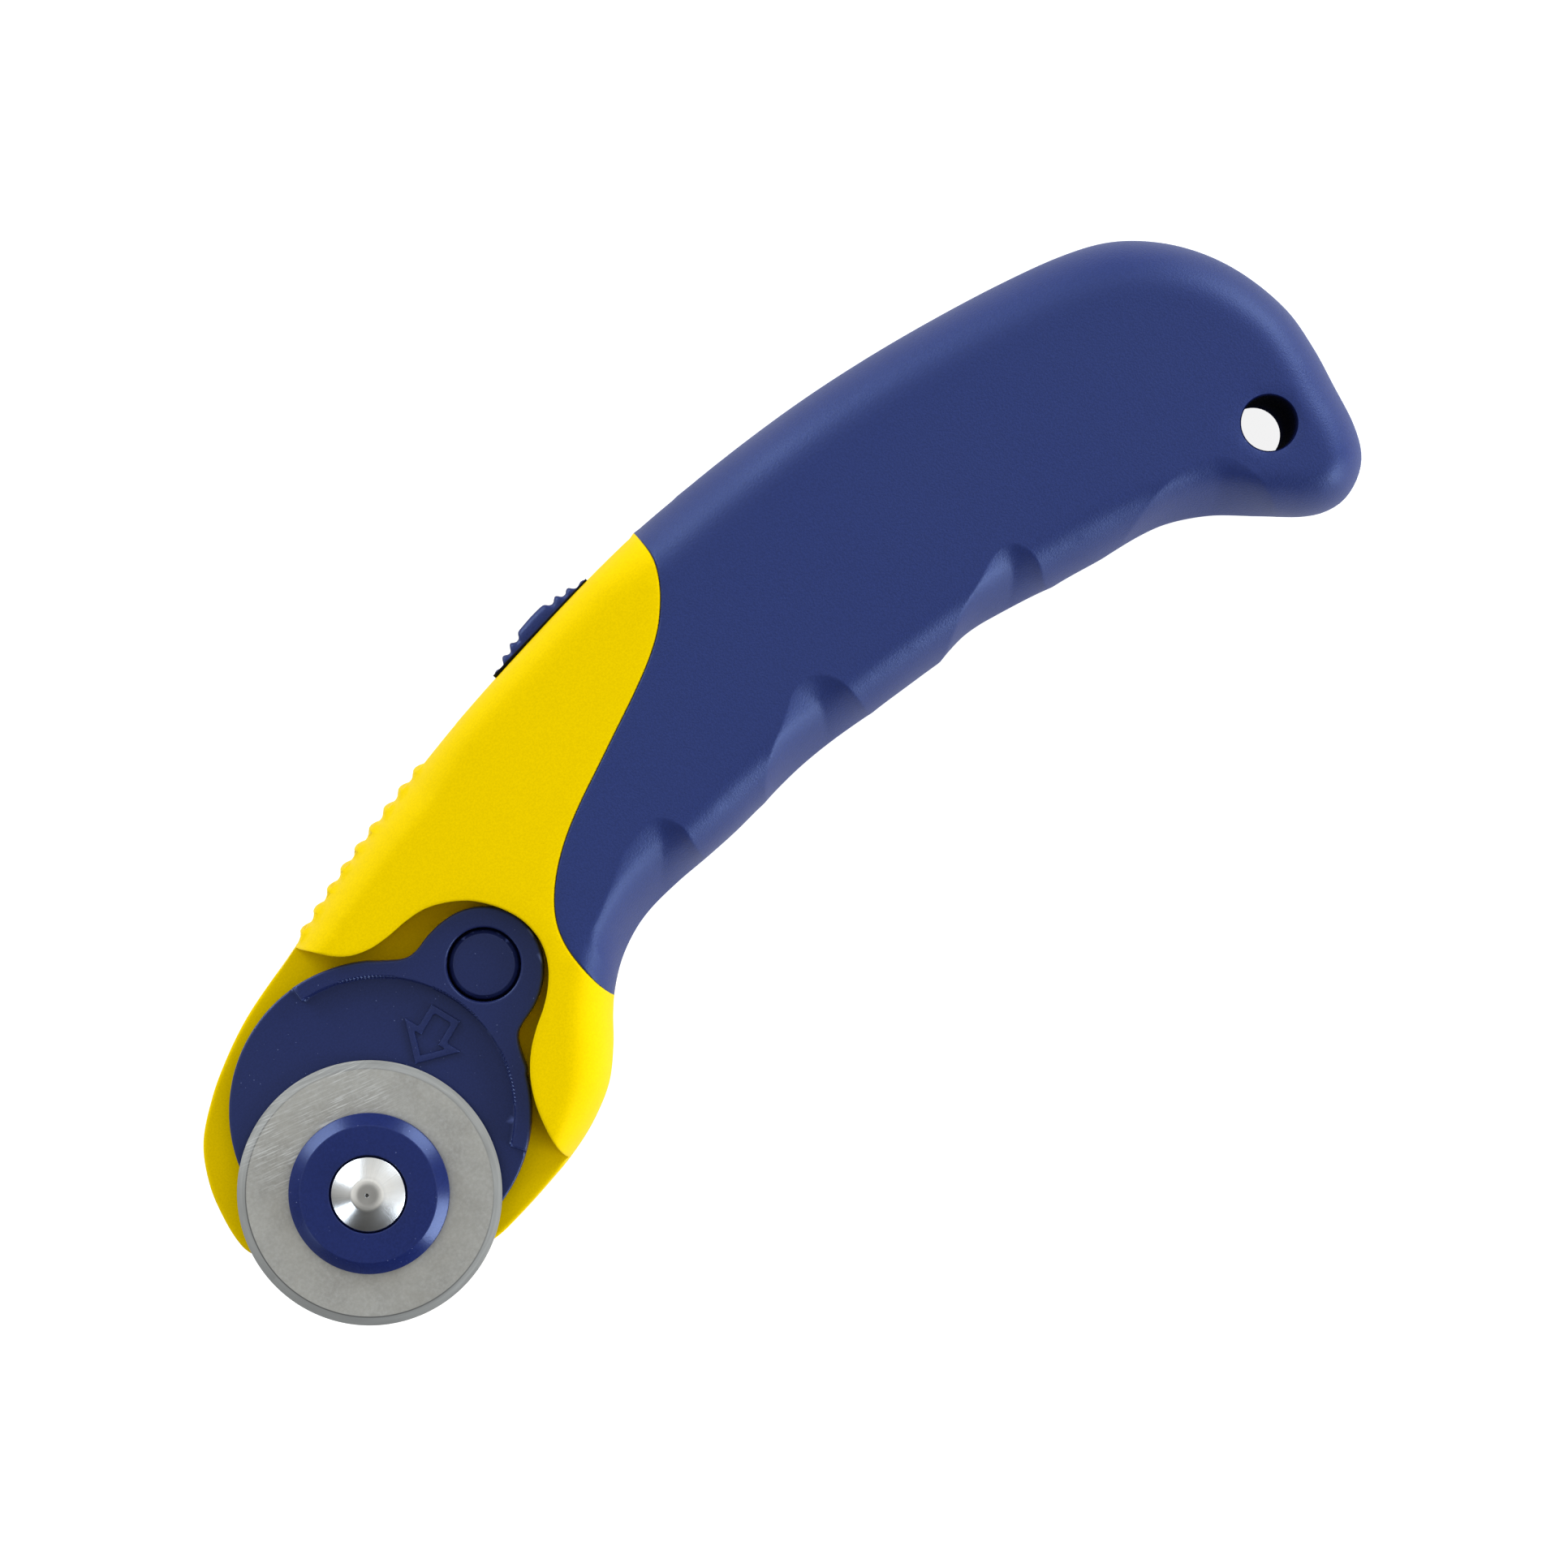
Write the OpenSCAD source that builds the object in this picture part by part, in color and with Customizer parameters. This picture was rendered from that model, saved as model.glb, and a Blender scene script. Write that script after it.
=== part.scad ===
// Rotary cutter for fabric: a round blade on a curved pistol handle, with a
// blade guard that a thumb slider on the top edge pushes over the edge.
// The cutter lies on its back face, blade side up. X runs from the blade to
// the tail, Y from the finger side to the thumb side, Z through the thickness.

/* [Body] */
// Thickness of the handle over both faces
body_t = 18; // [17:0.5:19]
// Wall thickness of the moulded halves
wall = 2; // [1.8:0.1:2.2]
// Radius of the hanging hole in the tail
hang_r = 2.95; // [2.5:0.05:3.2]

/* [Blade] */
// Diameter of the round blade
blade_d = 28; // [27:0.5:28]
// Thickness of the blade
blade_t = 0.3; // [0.25:0.05:0.35]
// Radius of the centre hole in the blade
blade_hole_r = 2.6; // [2.5:0.05:2.7]
// Width of the ground bevel at the cutting edge
bevel_w = 1.1; // [0.6:0.1:1.4]
// Outer radius of the retaining ring over the blade
ring_r = 8.5; // [8:0.1:9]

/* [Guard] */
// Radius of the guard disc behind the blade
guard_r = 16; // [15.5:0.1:16]
// Travel of the thumb slider from blade open to blade covered
travel = 8.4; // [7.8:0.1:8.4]
// Angle that the guard turns over that travel
guard_turn = 16; // [15:0.5:16]
// Radius of the pivot pin's head in the guard's ear
pivot_r = 3.9; // [3.7:0.05:3.9]

/* [Fasteners] */
// Radius of the blade bolt's shank
bolt_r = 2; // [1.8:0.05:2]
// Outer radius of the thumb nut on the back
nut_r = 7.6; // [7:0.1:8]
// Radius of the screws that join the halves
screw_r = 1.4; // [1.2:0.05:1.4]

/* [Hidden] */
$fn = 64;
YEL = "gold";
BLU = "darkslateblue";
STEEL = "silver";

zm = body_t / 2;            // parting plane
z_floor = zm + 3.6;         // floor of the guard's recess
z_under = z_floor - 1.8;    // inner face of that floor
z_gb = z_floor + 0.2;       // guard's lower face
z_bed = z_floor + 2.4;      // guard's bed under the blade
z_rim = z_floor + 3.6;      // guard's rim and ear
z_blade = z_bed + 0.2;      // blade's lower face
z_ring = z_blade + blade_t + 0.1;
z_back = zm - 4.6;          // back face of the head
z_seat = 6;                 // where the screw heads sit
slope = 4.5;                // slope of the slider's track
dir = [-cos(slope), -sin(slope)];
P0 = [25.1, 9.85];          // pivot with the guard open
P1 = P0 + travel * dir;     // pivot with the guard closed
function rot2(v, a) = [v[0] * cos(a) - v[1] * sin(a), v[0] * sin(a) + v[1] * cos(a)];
C0 = P0 + rot2(-P1, -guard_turn);   // centre of the open guard's disc
ear_a = atan2(P0[1] - C0[1], P0[0] - C0[0]);
ear_l = norm(P0 - C0);
ear_r = 6.1;
SCREWS = [[25.4, -3.6], [19.6, 22.9], [50, 13.5], [84, 17], [112, 8]];
HANG = [124.6, -3.1];

// Outline of the whole tool at the parting plane, counter-clockwise from the
// tail: x, y and the width over which the face rounds down to the edge.
OUT = [
  [135, 4.4, 5.2], [134.3, 9.8, 5.4], [132.6, 14.6, 5.6], [129.8, 18.9, 5.6], [125.9, 22.5, 5.6],
  [121, 24.9, 5.4], [114, 27.1, 5.2], [106, 29.1, 5], [98, 30.75, 5], [90, 32, 5], [82, 32.8, 5],
  [74, 33.25, 5], [66.5, 33.3, 5], [58, 32.8, 4.8], [50, 32.1, 4.6], [42, 31.25, 4.5],
  [34, 30.1, 4.4], [27, 28.85, 4.2], [20, 27.3, 4], [14, 25.7, 3], [10, 24.7, 1.6], [6, 23.7, 1.2],
  [2, 22.5, 1.1], [-2, 20.9, 1.1], [-6, 18.8, 1.1], [-10, 15.8, 1.1], [-12.5, 12, 1.1],
  [-13.8, 8.2, 1.1], [-14.3, 5.2, 1.1], [-14, 3.4, 1.1], [-12.8, 2, 1.1], [-8, -1.8, 1.1],
  [-3, -5.8, 1.1], [2, -9.8, 1.1], [4.4, -11.7, 1.1], [6.4, -12.6, 1.1], [10, -12.5, 1.2],
  [14, -12.1, 1.6], [18, -11.5, 2.6], [22, -10.4, 3.4], [26, -8.5, 3.8], [29, -5.9, 3.8],
  [31.4, -3.2, 3.8], [33.4, -1.3, 3.8], [36, 0.5, 4.2], [39, 1.8, 5.2], [42, 2.45, 5.9],
  [45.5, 2.6, 6.5], [48.5, 2.5, 6.8], [50.4, 2.48, 4.4], [54, 2.48, 3.8], [58, 2.7, 3.8],
  [62, 2.95, 4.6], [66, 2.95, 6.3], [69.5, 2.65, 7.1], [71.8, 2.4, 6.2], [73.6, 2.2, 4],
  [78, 1.72, 3.6], [82, 1.4, 3.6], [86, 1.7, 3.8], [90, 1.06, 4.8], [93.5, 0.2, 5.8],
  [95.8, -0.4, 5.6], [98, -0.95, 3.7], [102, -1.9, 3.3], [106, -2.8, 3.3], [110, -4.1, 4.4],
  [114, -6.35, 5.6], [117, -8.8, 6.2], [119.6, -11.2, 5], [121.6, -13, 4.3], [123.6, -14.2, 4.1],
  [126, -14.65, 4.1], [128.6, -13.9, 4.2], [130.7, -12.2, 4.4], [132.2, -9.2, 4.8],
  [133.3, -5, 5], [134.4, -0.5, 5.1]];

// Seam between the yellow head and the blue grip, from the thumb side down.
SEAM = [[67.2, 40], [67.3, 36], [67.35, 33], [67.1, 30], [66.2, 27.9], [64.6, 25.8], [62.3, 23.7],
  [59.5, 22], [56, 20.4], [52, 18.8], [48, 17.2], [44, 15.6], [40.5, 13.9], [37.6, 12],
  [35.3, 9.9], [33.8, 7.8], [33, 5.6], [32.7, 3.2], [32.65, 0.5], [32.8, -1.5], [33, -5], [33, -9]];

// Wall of the recess that the guard lies in, from the thumb side down.
RECESS = [[9, 30], [10, 27], [11.2, 24.7], [12.6, 22.9], [14, 21.1], [15.4, 19.9], [17.3, 19.1],
  [19.6, 18.8], [22, 18.75], [24.3, 18.4], [26.5, 17.4], [28.5, 15.7], [30, 13.5], [31, 11],
  [31.2, 9], [30.9, 7], [30, 5.1], [28.6, 3.5], [26.8, 2.2], [24.8, 1.1], [22.8, -0.3],
  [21, -2.2], [19.6, -4.5], [18.6, -7.2], [18, -10], [17.8, -14], [17.8, -18]];

// Catmull-Rom curves through the points above.
function cr(a, b, c, d, t) =
  0.5 * (2 * b + (c - a) * t + (2 * a - 5 * b + 4 * c - d) * t * t + (3 * b - a - 3 * c + d) * t * t * t);
function loop(P, n) = let (L = len(P))
  [for (i = [0:L - 1]) for (k = [0:n - 1]) cr(P[(i + L - 1) % L], P[i], P[(i + 1) % L], P[(i + 2) % L], k / n)];
function curve(P, n) = [for (i = [1:len(P) - 3]) for (k = [0:n - 1]) cr(P[i - 1], P[i], P[i + 1], P[i + 2], k / n)];
function unit(v) = v / norm(v);
function inward(P, i) = let (L = len(P), a = P[(i + L - 1) % L], b = P[(i + 1) % L], t = unit([b[0] - a[0], b[1] - a[1]]))
  [-t[1], t[0]];

EDGE = loop(OUT, 2);
NE = len(EDGE);
IN = [for (i = [0:NE - 1]) inward(EDGE, i)];
function inset(i, d) = [EDGE[i][0] + IN[i][0] * d, EDGE[i][1] + IN[i][1] * d];

// Box of the whole tool, for an origin under its middle.
slider_top = 34.15;
ox = (min([for (p = EDGE) p[0]]) + max([for (p = EDGE) p[0]])) / 2;
oy = (min([for (p = EDGE) p[1]]) + slider_top) / 2;
module place() { translate([-ox, -oy, 0]) children(); }
module at(p, z = 0) { translate([p[0], p[1], z]) children(); }
module prism(pts, z0, z1) { translate([0, 0, z0]) linear_extrude(height = z1 - z0) polygon(pts); }

// One half of the body, from the parting plane to a face rounded off all round.
PHI = [0, 16, 33, 51, 70, 90];
module half() {
  pts = [for (f = PHI) for (i = [0:NE - 1]) let (q = inset(i, EDGE[i][2] * (1 - cos(f)))) [q[0], q[1], zm + zm * sin(f)]];
  K = len(PHI);
  sides = [for (k = [0:K - 2]) for (i = [0:NE - 1]) let (j = (i + 1) % NE, a = k * NE + i, b = a + NE, c = (k + 1) * NE + j, d = k * NE + j)
    each [[a, b, c], [a, c, d]]];
  // all sizes kept: this only makes triangles of the two flat faces
  resize([0, 0, 0])
    polyhedron(points = pts, faces = concat(sides, [[for (i = [NE - 1:-1:0]) (K - 1) * NE + i], [for (i = [0:NE - 1]) i]]), convexity = 8);
}
module back_half() { translate([0, 0, body_t]) mirror([0, 0, 1]) half(); }
module grip_side() { prism(concat(curve(SEAM, 2), [[33, -40], [170, -40], [170, 60], [67.3, 60]]), -5, body_t + 5); }
module recess() {
  prism(concat(curve(RECESS, 2), [[17.8, -40], [-50, -40], [-50, 40], [10, 40]]), z_floor, body_t + 5);
  at(P0, z_floor) cylinder(r = ear_r + 0.15, h = 10);
}
// The hollow of the grip: the outline moved inwards, right of x = 20.
module hollow(d, z0, z1) { prism([for (i = [0:NE - 1]) if (EDGE[i][0] > 20) inset(i, d)], z0, z1); }

// Room for the slide bar, in both halves of the head.
POCKET = [[11, 9.2], [12.2, 5], [17, 3.4], [26, 4], [31, 6.6], [38, 14], [45, 20.6], [54, 21.9], [62.8, 22.9],
  [62.9, 29.5], [42, 27.9], [33, 27], [27.5, 25.6], [22.6, 20.4], [14.2, 15]];
// Outline and inside of the tongue that reaches under the grip.
TONGUE = [[32, 14], [31.9, 9.6], [34.5, 7.7], [58, 7.7], [62, 11], [63.6, 18], [64.4, 26.4], [60, 28], [45, 26], [33, 20]];
CORE = [[36, 10.6], [57.2, 9.5], [60.4, 12], [61.9, 18.4], [62.6, 26], [50, 24.5], [42, 21], [34.5, 15]];
BRIDGE = [[22.5, 21.2], [27.6, 19.8], [31.2, 17], [36, 16], [50, 20.5], [60, 25.4], [61, 27.5], [42, 26.4], [30, 24.4], [24, 23]];

module screw_hole(p) { at(p, zm - 3.2) cylinder(r = screw_r + 0.05, h = 9); }
module screw_seat(p) {
  at(p, z_seat - 0.2) cylinder(r = screw_r + 0.15, h = 4);
  at(p, -1) cylinder(r = 2.75, h = z_seat + 1);
}
module ridges(z0, z1) {
  // thumb ridges along the top edge
  for (i = [0:8]) { x = 13.4 + 2.5 * i; at([x, 25.05 + 0.272 * (x - 13.4) - 0.0029 * (x - 13.4) * (x - 13.4)], z0) scale([1, 1, 1]) cylinder(r = 0.9, h = z1 - z0); }
}

module body_front_shell() color(YEL) place() {
  difference() {
    union() {
      difference() { half(); grip_side(); recess(); }
      prism(TONGUE, zm, zm + 6.7);
      ridges(zm, zm + 4.5);
    }
    prism(POCKET, zm - 1, z_under);
    prism(CORE, zm - 1, zm + 4.9);
    prism(BRIDGE, zm - 1, body_t - wall - 0.1);
    // way for the pivot pin's neck, slot for the slider's stem
    at(P0, z_under - 1) cylinder(r = 3.1, h = 4);
    at(P1, z_under - 1) cylinder(r = 3.1, h = 4);
    at(P1, z_under - 1) rotate([0, 0, slope]) translate([0, -3.04, 0]) cube([travel, 6.08, 4]);
    stem_slot();
    // seat of the spindle bush and hole of the bolt
    at([0, 0], z_floor - 1.2) cylinder(r = 3.45, h = 5);
    bolt_hole();
    for (i = [0, 1, 2]) screw_hole(SCREWS[i]);
  }
  difference() {
    at(SCREWS[2], zm) cylinder(r = 3, h = 5);
    screw_hole(SCREWS[2]);
  }
}
module bolt_hole() {
  intersection() {
    translate([0, 0, -1]) cylinder(r = bolt_r + 0.06, h = 15);
    translate([-5, -bolt_r * 0.8 - 0.06, -1]) cube([10, bolt_r * 1.6 + 0.12, 15]);
  }
}
module stem_slot() {
  translate([48.6, 28, zm - 2.1]) rotate([0, 0, slope]) translate([-travel - 0.3, -4, 0]) cube([travel + 9.2, 12, 4.2]);
}

module body_back_shell() color(YEL) place() {
  difference() {
    union() {
      difference() {
        back_half();
        grip_side();
        // the head is thinner at the back
        translate([0, 60, 0]) rotate([90, 0, 0]) linear_extrude(height = 120)
          polygon([[-60, -3], [32.6, -3], [32.6, 0], [22, z_back], [-60, z_back]]);
      }
      prism(TONGUE, zm - 6.7, zm);
      ridges(z_back + 0.6, zm);
    }
    prism(POCKET, z_back + 1.8, zm + 1);
    prism(CORE, zm - 4.9, zm + 1);
    stem_slot();
    bolt_hole();
    for (i = [0, 1]) screw_seat(SCREWS[i]);
  }
  difference() {
    at(SCREWS[2], zm - 5) cylinder(r = 4, h = 5);
    screw_seat(SCREWS[2]);
  }
}

module grip_front() color(BLU) place() {
  difference() {
    intersection() { half(); grip_side(); }
    difference() {
      union() { hollow(wall, zm - 1, zm + 4); hollow(4.6, zm - 1, body_t - wall - 0.1); }
      at(HANG) cylinder(r = hang_r + 1.8, h = body_t);
      for (i = [3, 4]) at(SCREWS[i]) cylinder(r = 3, h = body_t);
    }
    at(HANG, -1) cylinder(r = hang_r, h = body_t + 2);
    for (i = [3, 4]) screw_hole(SCREWS[i]);
  }
}
module grip_back() color(BLU) place() {
  difference() {
    intersection() { back_half(); grip_side(); }
    difference() {
      union() { hollow(wall, zm - 4, zm + 1); hollow(4.6, wall + 0.1, zm + 1); }
      at(HANG) cylinder(r = hang_r + 1.8, h = body_t);
      for (i = [3, 4]) at(SCREWS[i]) cylinder(r = 4.2, h = body_t);
    }
    at(HANG, -1) cylinder(r = hang_r, h = body_t + 2);
    for (i = [2, 3, 4]) screw_seat(SCREWS[i]);
  }
}

module shell_screws() color(STEEL) place() {
  for (p = SCREWS) difference() {
    union() {
      at(p, z_seat - 1.5) cylinder(r = 2.6, h = 1.5);
      at(p, z_seat - 0.1) cylinder(r = screw_r, h = 8.6);
    }
    // cross recess
    at(p, z_seat - 2.2) translate([-1.5, -0.3, 0]) cube([3, 0.6, 1.6]);
    at(p, z_seat - 2.2) translate([-0.3, -1.5, 0]) cube([0.6, 3, 1.6]);
  }
}

// Thin disc, ground to an edge on both faces, with three notches at the hole.
module blade() color(STEEL) place() {
  r = blade_d / 2;
  difference() {
    translate([0, 0, z_blade]) rotate_extrude($fn = 128)
      polygon([[0, 0], [r - bevel_w, 0], [r - 0.02, blade_t / 2 - 0.02], [r, blade_t / 2], [r - 0.02, blade_t / 2 + 0.02], [r - bevel_w, blade_t], [0, blade_t]]);
    translate([0, 0, z_blade - 1]) cylinder(r = blade_hole_r, h = 3);
    for (a = [20, 140, 260]) rotate([0, 0, a]) translate([2, -0.75, z_blade - 1]) cube([1.25, 1.5, 3]);
  }
}

// Turned steel bolt: domed head, shank with two flats, grooved end for the nut.
module blade_bolt() color("gainsboro") place() {
  h0 = z_ring + 0.9;
  difference() {
    union() {
      translate([0, 0, h0]) rotate_extrude()
        polygon([[0, 0], [3.95, 0], [3.95, 1.3], [3.8, 1.5], [2.6, 1.83], [1.4, 2.02], [0.3, 2.1], [0.22, 1.95], [0, 1.85]]);
      intersection() {
        translate([0, 0, 3.9]) cylinder(r = bolt_r, h = h0 - 3.8);
        translate([-5, -bolt_r * 0.8, 0]) cube([10, bolt_r * 1.6, 30]);
      }
      translate([0, 0, z_floor - 1.15]) cylinder(r = bolt_r, h = h0 - z_floor + 1.25);
      translate([0, 0, 0.9]) rotate_extrude() polygon(concat([[0, 0], [bolt_r - 0.35, 0]],
        [for (i = [0:7]) each [[bolt_r - 0.05, 0.3 + 0.38 * i], [bolt_r - 0.25, 0.5 + 0.38 * i]]], [[bolt_r - 0.25, 3.4], [0, 3.4]]));
    }
  }
}

module retaining_ring() color(BLU) place() {
  translate([0, 0, z_ring]) rotate_extrude($fn = 96)
    polygon([[2.1, 0.35], [5.6, 0.35], [5.8, 0], [ring_r - 0.15, 0], [ring_r, 0.15], [ring_r, 1.1], [ring_r - 0.1, 1.35],
      [ring_r - 1.15, 2.2], [ring_r - 1.5, 2.3], [4.35, 2.3], [4.15, 2.1], [4.1, 0.9], [2.1, 0.9]]);
}

// Coned spring washer that presses on the blade.
module spring_washer() color(STEEL) place() {
  translate([0, 0, z_blade + blade_t + 0.02]) rotate_extrude()
    polygon([[5.2, 0], [5.3, 0.14], [2.75, 0.4], [2.7, 0.26]]);
}

// Steel bush: shoulder under the blade, journal in the blade's hole.
module spindle_bush() color(STEEL) place() {
  difference() {
    union() {
      translate([0, 0, z_floor - 1.2]) cylinder(r = 3.4, h = z_blade - z_floor + 1.2);
      translate([0, 0, z_blade - 0.5]) cylinder(r = blade_hole_r - 0.05, h = 0.5 + blade_t + 0.05);
    }
    translate([0, 0, 5]) cylinder(r = bolt_r + 0.05, h = 20);
  }
}

module nut_washer() color(STEEL) place() {
  difference() {
    translate([0, 0, z_back - 0.3]) cylinder(r = 5, h = 0.3);
    translate([0, 0, z_back - 1]) cylinder(r = bolt_r + 0.1, h = 3);
  }
}

// Round plastic nut with finger flutes, moulded round a hexagonal insert.
module thumb_nut() color(BLU) place() {
  difference() {
    translate([0, 0, 0.6]) rotate_extrude()
      polygon([[0, 0], [nut_r - 1.4, 0], [nut_r - 0.5, 0.4], [nut_r, 1.1], [nut_r, z_back - 1.3], [nut_r - 0.4, z_back - 0.9], [0, z_back - 0.9]]);
    for (a = [0:45:315]) rotate([0, 0, a]) translate([nut_r + 1.1, 0, -1]) cylinder(r = 2, h = 8);
    translate([0, 0, 0]) cylinder(r = 2.5, h = 8);
    translate([0, 0, 1.7]) cylinder(r = 3.9, h = 8, $fn = 6);
    translate([0, 0, -1]) cylinder(r = 3.4, h = 1.9);
  }
}
module nut_insert() color("goldenrod") place() {
  difference() {
    translate([0, 0, 1.75]) cylinder(r = 3.85, h = z_back - 0.3 - 1.75, $fn = 6);
    translate([0, 0, 0]) cylinder(r = bolt_r + 0.05, h = 8);
  }
}

// The way of the blade's axle through the guard, in the guard's own rest frame.
function axle_at(t) = P0 + rot2(-(P0 + t * travel * dir), -t * guard_turn);
SLOT = [for (k = [0:8]) axle_at(k / 8)];
function side(i, s) = let (a = SLOT[max(i - 1, 0)], b = SLOT[min(i + 1, 8)], t = unit(b - a)) SLOT[i] + s * 3.5 * [-t[1], t[0]];
module guard_slot() {
  prism(concat([for (i = [0:8]) side(i, 1)], [for (i = [8:-1:0]) side(i, -1)]), z_gb - 1, z_rim + 1);
  at(SLOT[0], z_gb - 1) cylinder(r = 3.5, h = 6);
  at(SLOT[8], z_gb - 1) cylinder(r = 3.5, h = 6);
}
module ear2() {
  // ear with the pivot hole, drawn along +X from the disc's centre
  polygon([[10, 7.4], [ear_l, ear_r], [ear_l, -ear_r], [10, -7.4]]);
  for (s = [-1, 1]) difference() {
    polygon([[13.6, s * 5], [12.2, s * 10.2], [15.7, s * 8.65], [16.8, s * 5]]);
    translate([15.85, s * 8.7]) circle(r = 2.02);
  }
}
module guard_plate() color(BLU) place() {
  difference() {
    union() {
      at(C0, z_gb) cylinder(r = guard_r, h = z_rim - z_gb, $fn = 128);
      at(P0, z_gb) cylinder(r = ear_r, h = z_rim - z_gb);
      at(C0, z_gb) rotate([0, 0, ear_a]) linear_extrude(height = z_rim - z_gb) ear2();
    }
    // bed under the blade, open away from the rim
    at(C0, z_bed) cylinder(r = blade_d / 2 + 0.3, h = 5, $fn = 128);
    at(C0, z_bed) linear_extrude(height = 5) polygon(concat([[0, 0]], [for (a = [83:13:304]) 24 * [cos(a), sin(a)]]));
    at(P0, z_gb - 1) cylinder(r = pivot_r + 0.05, h = 6);
    at(P0, z_rim - 0.2) cylinder(r1 = pivot_r + 0.05, r2 = pivot_r + 0.3, h = 0.25);
    guard_slot();
  }
  // plain arrow in relief, pointing at the cutting edge
  difference() {
    at(C0 + [10.2, 3.1], z_bed - 0.1) rotate([0, 0, 17]) linear_extrude(height = 0.3) difference() {
      polygon([[-2.4, 0], [0.6, 2.6], [0.6, 1.2], [2.4, 1.2], [2.4, -1.2], [0.6, -1.2], [0.6, -2.6]]);
      polygon([[-1.6, 0], [0.2, 1.6], [0.2, 0.8], [2, 0.8], [2, -0.8], [0.2, -0.8], [0.2, -1.6]]);
    }
  }
}

module pivot_pin() color(BLU) place() {
  at(P0, 0) {
    translate([0, 0, z_gb - 0.05]) rotate_extrude() polygon([[0, 0], [pivot_r, 0], [pivot_r, 2.35], [pivot_r - 0.15, 2.7],
      [pivot_r - 0.5, 2.9], [0, 2.9]]);
    translate([0, 0, zm + 1.2]) cylinder(r = 3, h = z_gb - zm - 1.2);
    translate([0, 0, zm - 1.6]) cylinder(r = 2.2, h = 3);
  }
}

// Flat bar inside the head: eye for the pivot pin, rail under the slider.
BAR = [[22, 13.2], [28, 6.4], [43, 22.5], [49, 23.06], [50, 23.64], [51, 23.22], [57.37, 23.72], [58.37, 24.3],
  [59.37, 23.88], [61, 24], [61.3, 27.9], [42, 26.38], [36.5, 25.4]];
module slide_bar() color("lightsteelblue") place() {
  difference() {
    union() {
      at(P0, zm - 2) cylinder(r = 4.6, h = 3.2);
      prism(BAR, zm - 2, zm + 1.2);
    }
    at(P0, zm - 3) cylinder(r = 2.2, h = 6);
    slider_legs(0);
  }
}
module track(x, y) { translate([53, 27.25, zm]) rotate([0, 0, slope]) translate([x, y, 0]) children(); }
module slider_legs(g) {
  for (x = [-3, 1.6]) track(x, -1.5) translate([0, 0, -0.9]) cube([1.5, 3, 1.8]);
}

// Thumb slider: crowned top with teeth, stem through the body's top edge.
KNOB = [[46.1, 31.95], [46.7, 32.2], [47.5, 32.3], [49.1, 32.85], [50.6, 33.3], [51.1, 33.7], [52, 33.95], [53, 34.1], [54, 34.15],
  [54.9, 34.05], [55.5, 33.65], [57.2, 33.45], [58.8, 33.15], [59.9, 33.1], [60.3, 32.98]];
module thumb_slider() color(BLU) place() {
  prism(KNOB, zm - 4.5, zm + 4.5);
  for (p = [[46.75, 31.98], [48.25, 32.52], [49.75, 32.95], [56.6, 33.4], [58.1, 33.22], [59.6, 33.0]])
    intersection() {
      at(p, zm - 4.5) cylinder(r = 0.55, h = 9, $fn = 24);
      prism([[45, 31.8], [61, 33.06], [61, 36], [45, 36]], zm - 5, zm + 5);
    }
  // stem down to the bar
  difference() {
    track(-4, 0.55) translate([0, 0, -1.9]) cube([8, 5.2, 3.8]);
    prism([[40, 31.55], [66, 33.65], [66, 40], [40, 40]], zm - 5, zm + 5);
  }
  slider_legs(0);
}

// Leaf spring whose bend drops into one of two notches in the bar.
module detent_spring() color(STEEL) place() {
  prism([[44.6, 21.2], [45, 21.1], [49.2, 22.5], [50, 23.15], [50.8, 22.65], [55.4, 22.3], [55.5, 22.65], [51, 23.0],
    [50, 23.55], [49, 22.85]], zm - 1.6, zm + 0.8);
}

body_front_shell();
body_back_shell();
grip_front();
grip_back();
shell_screws();
blade();
blade_bolt();
retaining_ring();
spring_washer();
spindle_bush();
nut_washer();
thumb_nut();
nut_insert();
guard_plate();
pivot_pin();
slide_bar();
thumb_slider();
detent_spring();
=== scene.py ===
import math

import bmesh
import bpy
import numpy as np
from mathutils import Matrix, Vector
from mathutils.geometry import delaunay_2d_cdt


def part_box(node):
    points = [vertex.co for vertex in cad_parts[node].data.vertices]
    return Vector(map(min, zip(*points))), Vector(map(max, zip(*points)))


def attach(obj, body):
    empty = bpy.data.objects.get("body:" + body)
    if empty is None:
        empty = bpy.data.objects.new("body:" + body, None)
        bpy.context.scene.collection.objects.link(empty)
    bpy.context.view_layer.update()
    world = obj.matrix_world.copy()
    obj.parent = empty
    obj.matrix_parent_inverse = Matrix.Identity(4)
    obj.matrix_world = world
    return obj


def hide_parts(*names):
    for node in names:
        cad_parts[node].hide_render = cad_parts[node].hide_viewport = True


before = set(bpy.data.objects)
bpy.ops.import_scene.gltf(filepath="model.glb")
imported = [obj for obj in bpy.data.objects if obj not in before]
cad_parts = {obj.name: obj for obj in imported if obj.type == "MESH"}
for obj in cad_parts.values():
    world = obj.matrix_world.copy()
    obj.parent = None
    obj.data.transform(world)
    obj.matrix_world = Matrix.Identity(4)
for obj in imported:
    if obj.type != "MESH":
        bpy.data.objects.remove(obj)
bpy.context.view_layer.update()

# The blade's axle is the drawing origin: every length below is in millimetres from it.
_lo, _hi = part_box("blade")
AX, AY = (_lo.x + _hi.x) * 500.0, (_lo.y + _hi.y) * 500.0
Z_BLADE = _lo.z * 1000.0
ZM = 9.0


def at(x, y, z):
    return ((x + AX) / 1000.0, (y + AY) / 1000.0, z / 1000.0)


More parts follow.
